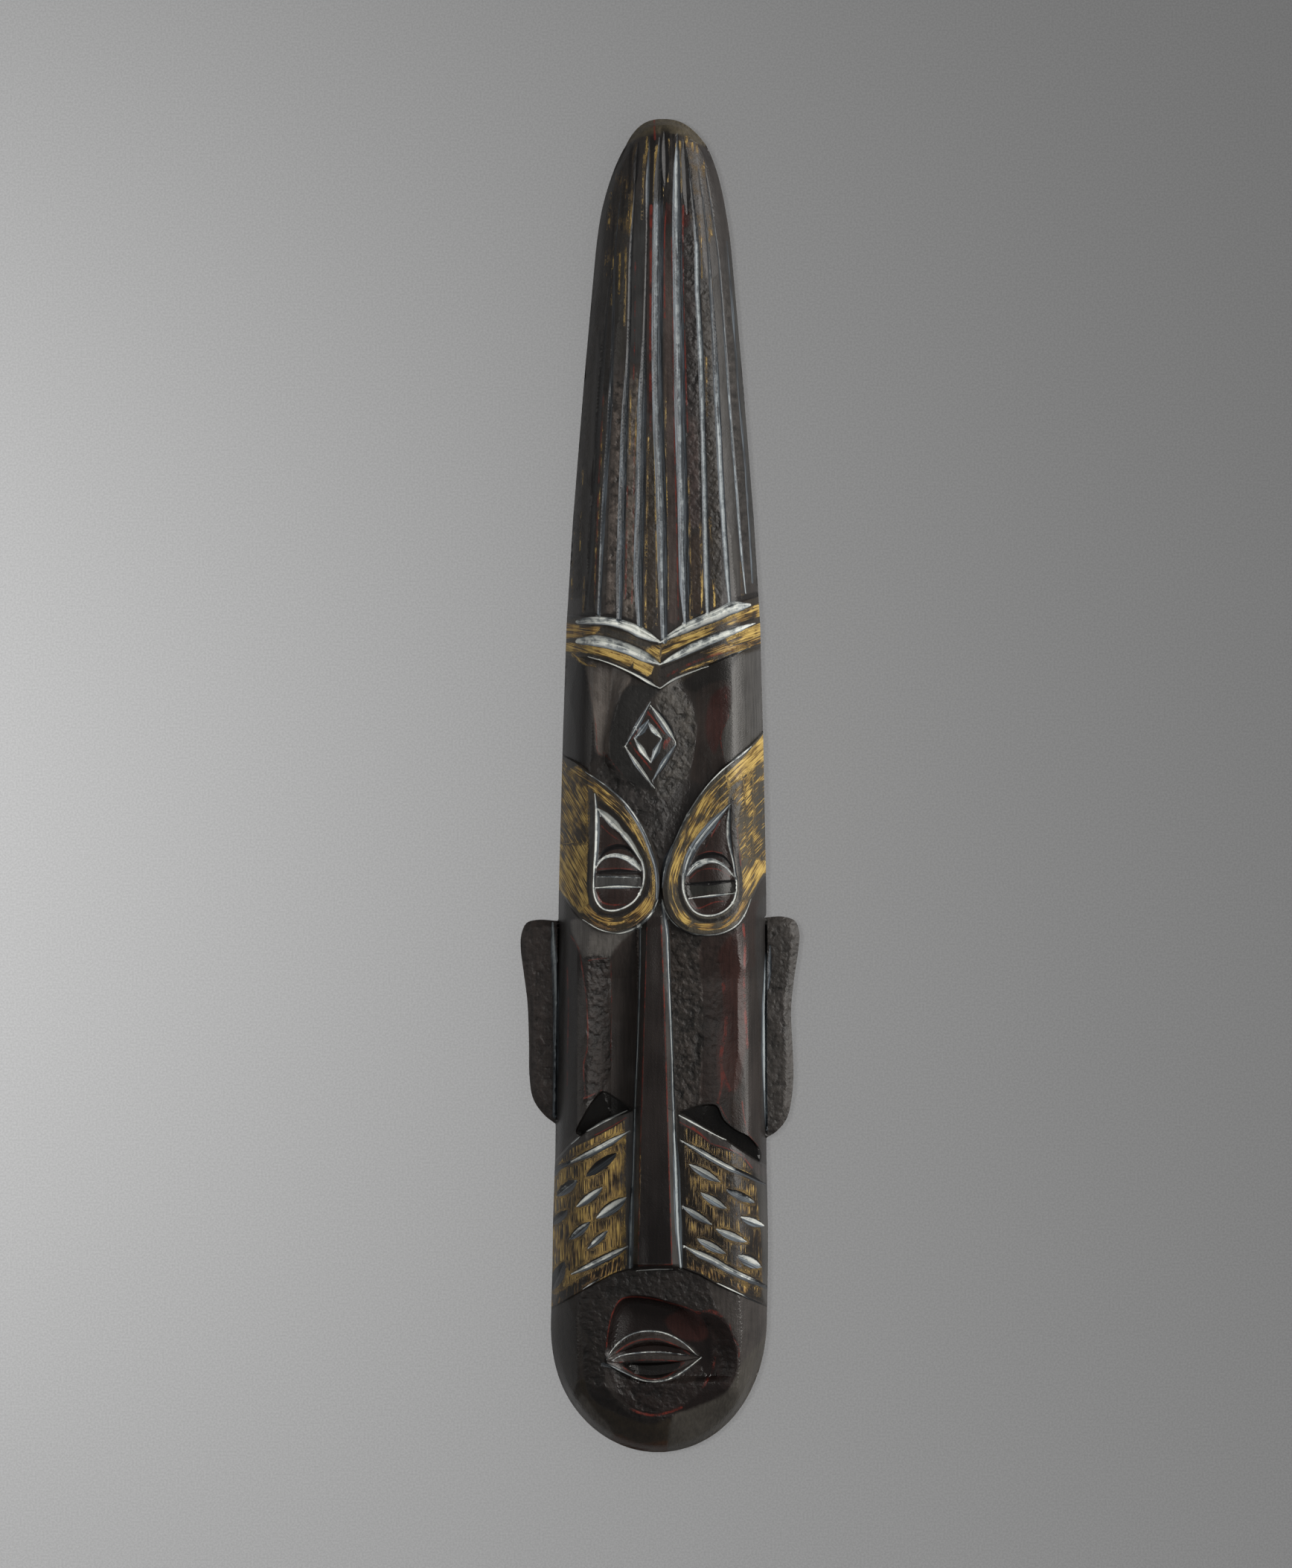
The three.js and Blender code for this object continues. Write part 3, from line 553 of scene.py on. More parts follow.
class Cut(Feature):
    """A groove along a line, with white paint in it, and painted sheen and painted shade across it by the way
    to the light.
    """

    def __init__(self, look, line, half, white, steep, rounded=False):
        self.look, self.line, self.half = LOOKS[look], line, by_share(half)
        self.white, self.steep, self.rounded = by_share(white), steep, rounded

    def trace(self, plan):
        wide = read(self.half, shares(self.line))
        plan.follow(self.line)
        for sign in (-1, 1):
            edge = beside(self.line, sign * wide)
            for run in np.split(edge, np.flatnonzero(wide < THIN_CUT)):
                if len(run) > 3:
                    plan.follow(run[1:])

    def carve(self, front):
        at = front.near(self.line)
        across, share = nearest(self.line, front.x[at], front.y[at])
        wide = np.maximum(read(self.half, share), CUT_LEAST)
        section = np.clip(1 - np.abs(across) / wide, 0, 1)
        front.z[at] -= self.steep * wide * (section * (2 - section) if self.rounded else section)
        # Which side faces the light decides where the cut's painted sheen and painted shade go.
        facing = np.sign(np.interp(share, shares(self.line), normals(self.line) @ LIGHT_WAY))
        depth = wide - np.abs(across)
        front.brush("white", at, depth, read(self.white, share),
                    np.clip(facing * across / wide, -ACROSS_LIMIT, ACROSS_LIMIT))
        over = front.paint["white"][at, 0] == depth
        peak, width, upper, lower, tint = self.look
        front.look[at[over]] = [peak, width, tint]
        front.sheen_film[at[over]] = [upper, lower, 0]
        close = over & (np.abs(across) < wide + CUT_MARGIN)
        along, beside_it = CUT_HAIRS
        front.comb(at, close, share * span(self.line) * along, across * beside_it, self.line[0].sum())


class Stroke(Feature):
    """A painted line of gold, red or dark."""

    def __init__(self, kind, line, half, amount):
        self.kind, self.line, self.half, self.amount = kind, line, by_share(half), by_share(amount)

    def trace(self, plan):
        plan.follow(self.line, False)

    def carve(self, front):
        at = front.near(self.line)
        across, share = nearest(self.line, front.x[at], front.y[at])
        depth = read(self.half, share) - np.abs(across)
        if self.kind == "gold":
            front.brush("gold", at, depth, read(self.amount, share) * GOLD_DRYNESS)
            front.comb(at, depth > -BRUSH_MARGIN, share * span(self.line) * GOLD_HAIRS, across,
                       self.line[0].sum())
        else:
            front.brush(self.kind, at, depth, read(self.amount, share))


class Raised(Feature):
    """An area that stands over the block, also where the block is hollowed, with a steep edge all round."""

    def __init__(self, line, rise):
        self.line, self.rise = line, rise

    def trace(self, plan):
        plan.follow(self.line)
        plan.follow(beside(self.line, -turn(self.line) * EDGE_RUN))

    def carve(self, front):
        at = front.near(self.line)
        depth = inside(self.line, front.x[at], front.y[at])
        share = np.clip(1 + depth / EDGE_RUN, 0, 1)
        front.z[at] += (front.block[at] + self.rise - front.z[at]) * share


class Gouge(Feature):
    """A flat cut with a crisp rim, which falls towards the chin from the highest point of its outline."""

    def __init__(self, points):
        self.line = smooth(points, closed=True)

    def trace(self, plan):
        plan.follow(self.line)
        plan.follow(beside(self.line, turn(self.line) * EDGE_RUN))

    def carve(self, front):
        at = front.near(self.line)
        x, y, z = front.x[at], front.y[at], front.z[at]
        top = self.line[self.line[:, 1].argmax()]
        start = z[np.hypot(x - top[0], y - top[1]).argmin()]
        flat = np.minimum(start - GOUGE_DROP - GOUGE_FALL * (top[1] - y), z - GOUGE_DROP)
        front.z[at] += (flat - z) * np.clip(inside(self.line, x, y) / EDGE_RUN, 0, 1)


class ColourAndLightZone(Feature):
    """An area of another colour, perhaps rough from the punch: the wood's own, painted sheen, painted shade.
    """

    def __init__(self, points, colour, rough):
        self.line, self.colour, self.rough = smooth(points, ZONE_STEP, closed=True), linear(*colour), rough

    def trace(self, plan):
        plan.follow(self.line, False)

    def carve(self, front):
        at = front.near(self.line)
        share = fade(inside(self.line, front.x[at], front.y[at]), -ZONE_EDGE, ZONE_EDGE)
        front.tint(at, self.colour, share)
        front.roughen(at, self.rough, share)


class Rib(Feature):
    """A rib's colour and roughness, which fade out at its upper end; on the right side the grey is painted
    sheen.
    """

    def __init__(self, line, half, colour, rough):
        self.line, self.half, self.colour, self.rough = line, half, linear(*colour), rough

    def carve(self, front):
        at = front.near(self.line)
        across, along = nearest(self.line, front.x[at], front.y[at])
        share = fade(self.half - np.abs(across), *RIB_EDGE) * fade(1 - along, 0, RIB_END)
        front.tint(at, self.colour, share)
        front.roughen(at, self.rough, share)


class Gilding(Feature):
    """An area dry-brushed with gold: how much of it is covered, and the way of the brush.

    The way is in degrees, or a line that the strokes run beside. The grain is the strokes' length and width.
    """

    def __init__(self, points, cover, way, grain, shade):
        self.line, self.cover, self.way = straight(points, closed=True), cover, way
        self.grain, self.shade = grain, shade

    def trace(self, plan):
        plan.follow(self.line, False)

    def carve(self, front):
        at = front.near(self.line)
        x, y = front.x[at], front.y[at]
        depth = inside(self.line, x, y)
        front.brush("gold", at, depth, self.cover, self.shade)
        if isinstance(self.way, (int, float)):
            angle = np.radians(self.way)
            along = x * np.cos(angle) + y * np.sin(angle)
            across = y * np.cos(angle) - x * np.sin(angle)
        else:
            across, share = nearest(self.way, x, y)
            along = share * span(self.way)
        long, wide = self.grain
        front.comb(at, depth > -BRUSH_MARGIN, along / long, across / wide, self.line[0, 0])


# The form of the block, its hollows and its raised parts.
class Block(Feature):
    """The block's top, cut into long flat facets by the knife, with the ears beside it."""

    def trace(self, plan):
        for sign, ear in ((-1, EAR_LEFT), (1, EAR_RIGHT)):
            foot = spaced(side(sign, ear[-1][1] + EAR_FOOT_TRIM, ear[0][1] - EAR_FOOT_TRIM), LINE_STEP)
            for gap in EAR_FOOT_LINES:
                plan.follow(beside(foot, sign * gap))

    def carve(self, front):
        x, y = front.x, front.y
        front.rounded = dome(x, y, front.body)
        flat = np.full(x.shape, np.inf)
        rng = np.random.default_rng(SEED)
        for row in np.arange(-LENGTH / 2 + FACET_START, LENGTH / 2, FACET_ALONG):
            half = half_width(row)
            count = max(2, round(2 * half / FACET_ACROSS))
            for column in read(MIDDLE, row) + half * (np.arange(count) + 0.5 - count / 2) * 2 / count:
                cx, cy = np.array([column, row]) + rng.uniform(-1, 1, 2) * (FACET_ACROSS / 4, FACET_ALONG / 3)
                spots = np.array([[cx, cy], [cx + 1, cy], [cx, cy + 1]])
                depth = inside(BODY[::8], spots[:, 0], spots[:, 1])
                if depth[0] < FACET_MARGIN:
                    continue
                height, right, up = dome(spots[:, 0], spots[:, 1], depth)
                away = np.hypot(x - cx, y - cy) / FACET_REACH
                at = np.flatnonzero(away < 1)
                plane = height + (right - height) * (x[at] - cx) + (up - height) * (y[at] - cy)
                plane += FACET_LIFT * away[at] ** 4
                flat[at] = np.minimum(flat[at], plane)
        flat = np.where(np.isfinite(flat), flat, front.rounded)
        front.z = front.rounded + (flat - front.rounded) * (FLATNESS * fade(front.body, 0, FLAT_FROM))
        front.block = front.z.copy()
        ear = front.body < 0
        edge = np.abs(nearest(RIM[::2], x[ear], y[ear])[0])
        wide, long = EAR_WAVE_SIZE
        wave = EAR_WAVE * waves(x[ear] / wide, y[ear] / long, EAR_SEED)
        front.z[ear] = EAR_HEIGHT - EAR_FALL * (1 - fade(edge, -0.5, EAR_EDGE)) - wave


class Hollow(Feature):
    """A long hollow between an outer and an inner rim."""

    def __init__(self, outer, low, inner, drop, depth):
        self.outer, self.low, self.inner, self.drop, self.depth = outer, low, inner, drop, depth

    def trace(self, plan):
        y = np.arange(self.drop[0][0], self.drop[-1][0], LINE_STEP)
        for line in (self.outer, self.low, self.inner):
            plan.follow(np.stack([read(line, y), y], 1), False)

    def carve(self, front):
        at = np.flatnonzero((front.y > self.drop[0][0]) & (front.y < self.drop[-1][0]))
        x, y = front.x[at], front.y[at]
        outer, low, inner = (read(line, y) for line in (self.outer, self.low, self.inner))
        rise = fade((x - outer) / (low - outer), 0, BROW_RISE_END)
        fall = fade((inner - x) / (inner - low), 0, 1)
        front.z[at] -= self.depth * read(self.drop, y) * rise * fall


class Cheek(Feature):
    """A cheek's hollow, from its rim down to the foot of the nose."""

    def __init__(self, section):
        self.section = section
        self.low, self.high = CHEEK_RUN[0][0], CHEEK_RUN[-1][0]

    def trace(self, plan):
        for x, _ in self.section:
            plan.follow(straight([(x, self.low), (x, self.high)]), False)

    def carve(self, front):
        across = (front.x >= self.section[0][0]) & (front.x <= self.section[-1][0])
        at = np.flatnonzero(across & (front.y > self.low) & (front.y < self.high))
        front.z[at] -= CHEEK_DROP * read(CHEEK_RUN, front.y[at]) * read(self.section, front.x[at])


def nose(y, column):
    """A column of the nose's table at places along Y."""
    return read([(row[0], row[column]) for row in NOSE], y)


class Nose(Feature):
    """The nose: a flat top with a steep side down to each foot."""

    def trace(self, plan):
        y = np.arange(NOSE_LOW, NOSE_HIGH, LINE_STEP)
        for column in (1, 2, 3, 4):
            plan.follow(np.stack([nose(y, column), y], 1))
        for edge in (NOSE_LOW, NOSE_TIP):
            plan.follow(straight([(nose(edge, 1), edge), (nose(edge, 4), edge)]))

    def carve(self, front):
        at = np.flatnonzero((front.y < NOSE_HIGH + NOSE_ROOT) & (front.y > NOSE_TIP))
        x, y = front.x[at], front.y[at]
        left_foot, left, right, right_foot, rise = (nose(y, column) for column in range(1, 6))
        share = np.minimum((x - left_foot) / (left - left_foot), (right_foot - x) / (right_foot - right))
        tip = np.clip((y - NOSE_TIP) / (NOSE_LOW - NOSE_TIP), 0, 1)
        root = np.clip((NOSE_HIGH + NOSE_ROOT - y) / NOSE_ROOT, 0, 1)
        share = np.clip(share, 0, 1) ** NOSE_SIDE_POWER * tip * root
        wide, long = NOSE_WAVE_SIZE
        top = read(CREST, y) + rise + NOSE_WAVE * waves(x / wide, y / long, NOSE_SEED)
        front.z[at] += np.maximum(top - front.z[at], 0) * share


class Mouth(Feature):
    """The hollow round the mouth, and the lips standing in it."""

    def __init__(self):
        self.line = smooth(MOUTH_HOLLOW, closed=True)
        self.slope = smooth(MOUTH_SLOPE, closed=True)

    def lip(self, share):
        """A line along the lips, at a share of their height."""
        t = np.linspace(0, 1, LIP_POINTS)
        x = LIP_LEFT[0] + (LIP_RIGHT[0] - LIP_LEFT[0]) * t
        y = LIP_LEFT[1] + (LIP_RIGHT[1] - LIP_LEFT[1]) * t
        height = share * np.sin(np.pi * t) ** LIP_CURVE * (LIP_UPPER if share > 0 else LIP_LOWER)
        return np.stack([x, y + height], 1)

    def trace(self, plan):
        plan.follow(self.line)
        for share, _ in LIP_SECTION:
            plan.follow(self.lip(share))

    def carve(self, front):
        at = front.near(self.slope)
        x, y = front.x[at], front.y[at]
        depth = inside(self.line, x, y)
        front.z[at] -= SLOPE_DROP * fade(inside(self.slope, x, y), 0, SLOPE_RUN)
        foot = fade(read(MOUTH_FOOT, x) - y, 0, MOUTH_FOOT_RUN)
        soft = np.maximum(MOUTH_FADE_SHARE * fade(x, *MOUTH_FADE_RIGHT), foot)
        front.z[at] -= read(MOUTH_DEPTH, np.maximum(depth, 0) * (1 - soft))
        t = np.clip((x - LIP_LEFT[0]) / (LIP_RIGHT[0] - LIP_LEFT[0]), 0, 1)
        swell = np.sin(np.pi * t) ** LIP_CURVE
        rise = y - (LIP_LEFT[1] + (LIP_RIGHT[1] - LIP_LEFT[1]) * t)
        share = rise / np.maximum(swell * np.where(rise > 0, LIP_UPPER, LIP_LOWER), LIP_LEAST)
        within = (np.abs(share) < 1) & (t > 0) & (t < 1)
        lips = LIP_RISE * swell ** LIP_SWELL * read(LIP_SECTION, np.clip(share, -1, 1))
        front.z[at] += np.where(within, lips, 0)


class Eye(Feature):
    """An eyeball in its socket, with a sunken band between its two slits."""

    def __init__(self, tear, ball):
        self.tear, self.slits, self.slope = smooth(tear, closed=True), ball["slits"], ball["slope"]
        (self.x, self.y), (self.wide, self.high) = ball["at"], ball["half"]

    def trace(self, plan):
        angle = np.linspace(0, 2 * np.pi, BALL_POINTS)
        ball = [self.x + self.wide * np.cos(angle), self.y + self.high * np.sin(angle)]
        plan.follow(np.stack(ball, 1), False)

    def carve(self, front):
        at = front.near(self.tear)
        x, y = front.x[at], front.y[at]
        socket = front.rounded[at] - front.block[at] - SOCKET_DROP
        front.z[at] += socket * fade(inside(self.tear, x, y), 0, SOCKET_RUN)
        radius = np.clip(((x - self.x) / self.wide) ** 2 + ((y - self.y) / self.high) ** 2, 0, 1)
        front.z[at] += BALL_BULGE * (1 - radius) ** BALL_POWER
        upper, lower = (slit + self.slope * (x - self.x) for slit in self.slits)
        outer, inner = SLIT_EDGE
        band = fade(y, lower - outer, lower + inner) * fade(y, upper + outer, upper - inner)
        front.z[at] -= SLIT_DROP * band * (radius < 1)


class EarAndNoseColoursAndLight(Feature):
    """Ear and nose colours: painted shade and light on the ears, painted sheen on the nose's right side."""

    def carve(self, front):
        # Painted shade on the left ear and painted light on the right ear.
        for sign, colour in zip((-1, 1), EAR_SHADE_AND_LIGHT_COLOURS):
            ear = (front.body < -0.2) & (front.x * sign > 0)
            front.tone[ear] = linear(*colour)
            front.rough[ear] = EAR_ROUGHNESS
        high = (front.y < NOSE_HIGH) & (front.y > NOSE_LOW)
        at = np.flatnonzero(high & (np.abs(front.x) < NOSE_REACH))
        x, y = front.x[at], front.y[at]
        left, right, foot = (nose(y, column) for column in (2, 3, 4))
        low = fade(-y, *NOSE_TOP_DARKENS)[:, None]
        brown = linear(*NOSE_TOP) * (1 - low) + linear(*NOSE_TOP_LOW) * low
        edge, (start, end) = NOSE_TOP_EDGE, NOSE_SIDE_EDGE
        front.tint(at, brown, fade(x, left - edge, left + edge) * fade(x, right + edge, right - edge))
        slope = fade(x, right + start, right + end) * fade(x, foot + edge, foot - edge)
        # Painted sheen on the nose's right side, which faces the light.
        front.tint(at, linear(*NOSE_SIDE_SHEEN), slope)


# Half widths and amounts of paint are one value, a tuple of values evenly spaced along the line, or a table
# of [share of the length, value].

# Cuts of the headdress: look, points from foot to tip, half width, amount of white.
FLUTES = [
    # A groove left without white, which shows painted shade.
    ("dark", [(-27.8, 66), (-26.6, 80), (-25, 110), (-23, 140), (-20.8, 170), (-18, 198)],
     [(0, 0.7), (0.2, 1.2), (0.4, 1), (0.7, 1.1), (1, 0.1)], 0),
    ("grey", [(-22.9, 64), (-22.2, 80), (-20.7, 110), (-18.8, 140), (-17.8, 165), (-16.8, 200), (-14, 228)],
     [(0, 0.7), (0.3, 0.9), (0.5, 0.8), (0.6, 0.6), (1, 0.1)],
     [(0, 0.6), (0.3, 0.5), (0.45, 0.15), (0.6, 0), (1, 0)]),
    ("grey", [(-15.4, 61), (-15, 80), (-14.1, 110), (-13.2, 140), (-11.8, 165), (-10.9, 200), (-8.6, 236)],
     [(0, 0.9), (0.1, 1.5), (0.4, 1.4), (0.55, 0.8), (0.8, 0.7), (1, 0.1)],
     [(0, 0.5), (0.3, 0.4), (0.5, 0.2), (0.6, -0.1), (1, -0.1)]),
    ("grey",
     [(-7.6, 58), (-8.2, 80), (-7.4, 110), (-6.9, 140), (-6, 165), (-5, 200), (-4.7, 225), (-4, 243)],
     [(0, 0.9), (0.1, 1.8), (0.45, 1.8), (0.6, 0.7), (0.82, 0.5), (0.9, 0.8), (1, 0.1)],
     [(0, 0.5), (0.25, 0.35), (0.5, 0.3), (0.6, -0.2), (0.83, -0.2), (0.87, 0.6), (1, 0.3)]),
    ("flute",
     [(1.5, 54), (0.9, 80), (0.2, 110), (-0.9, 140), (-1.2, 165), (-0.9, 200), (-0.6, 225), (-0.2, 243)],
     [(0, 1.2), (0.15, 1.9), (0.4, 2), (0.8, 2.2), (0.92, 1.6), (1, 0.2)],
     [(0, 0.6), (0.4, 0.35), (0.6, 0.45), (0.85, 0.45), (0.88, -0.2), (1, -0.15)]),
    ("flute", [(9.6, 60), (8.9, 80), (8.3, 110), (7.3, 140), (7, 165), (6.4, 200), (6.2, 225), (6.5, 244)],
     [(0, 0.8), (0.08, 1.9), (0.4, 2.1), (0.8, 1.9), (0.93, 1.3), (1, 0.2)],
     [(0, 0.55), (0.4, 0.55), (0.6, 0.6), (0.8, 0.45), (0.88, 1), (0.96, 0.9), (1, -0.2)]),
    ("soft",
     [(17.8, 63), (17.3, 80), (16.6, 110), (15.8, 140), (15, 165), (14, 185), (13.5, 205), (10.2, 236)],
     [(0, 0.7), (0.08, 1.1), (0.75, 1.1), (0.84, 0.8), (1, 0.1)], [(0, 0.95), (0.75, 0.95), (0.9, 0.1)]),
    ("soft", [(26, 67), (25, 80), (23, 110), (21.5, 140), (20.3, 165), (19, 185), (17.6, 205), (14, 235)],
     [(0, 0.6), (0.1, 1.1), (0.5, 1.2), (0.7, 0.8), (1, 0.1)], [(0, 1), (0.4, 0.8), (0.6, 0.2), (1, 0)]),
    ("soft", [(32, 72), (30.6, 85), (28.6, 110), (26.2, 140), (24.4, 165), (21.6, 200), (16.8, 232)],
     [(0, 0.3), (0.1, 0.6), (0.6, 0.55), (1, 0.2)], [(0, 0.8), (0.4, 0.5), (0.75, 0.1), (1, 0)]),
    ("sheen_film", [(34.6, 76), (33.2, 100), (31.4, 125), (29.2, 150), (27, 180), (25, 204)],
     [(0, 0.4), (0.8, 0.5), (1, 0.2)], 0.4),
]

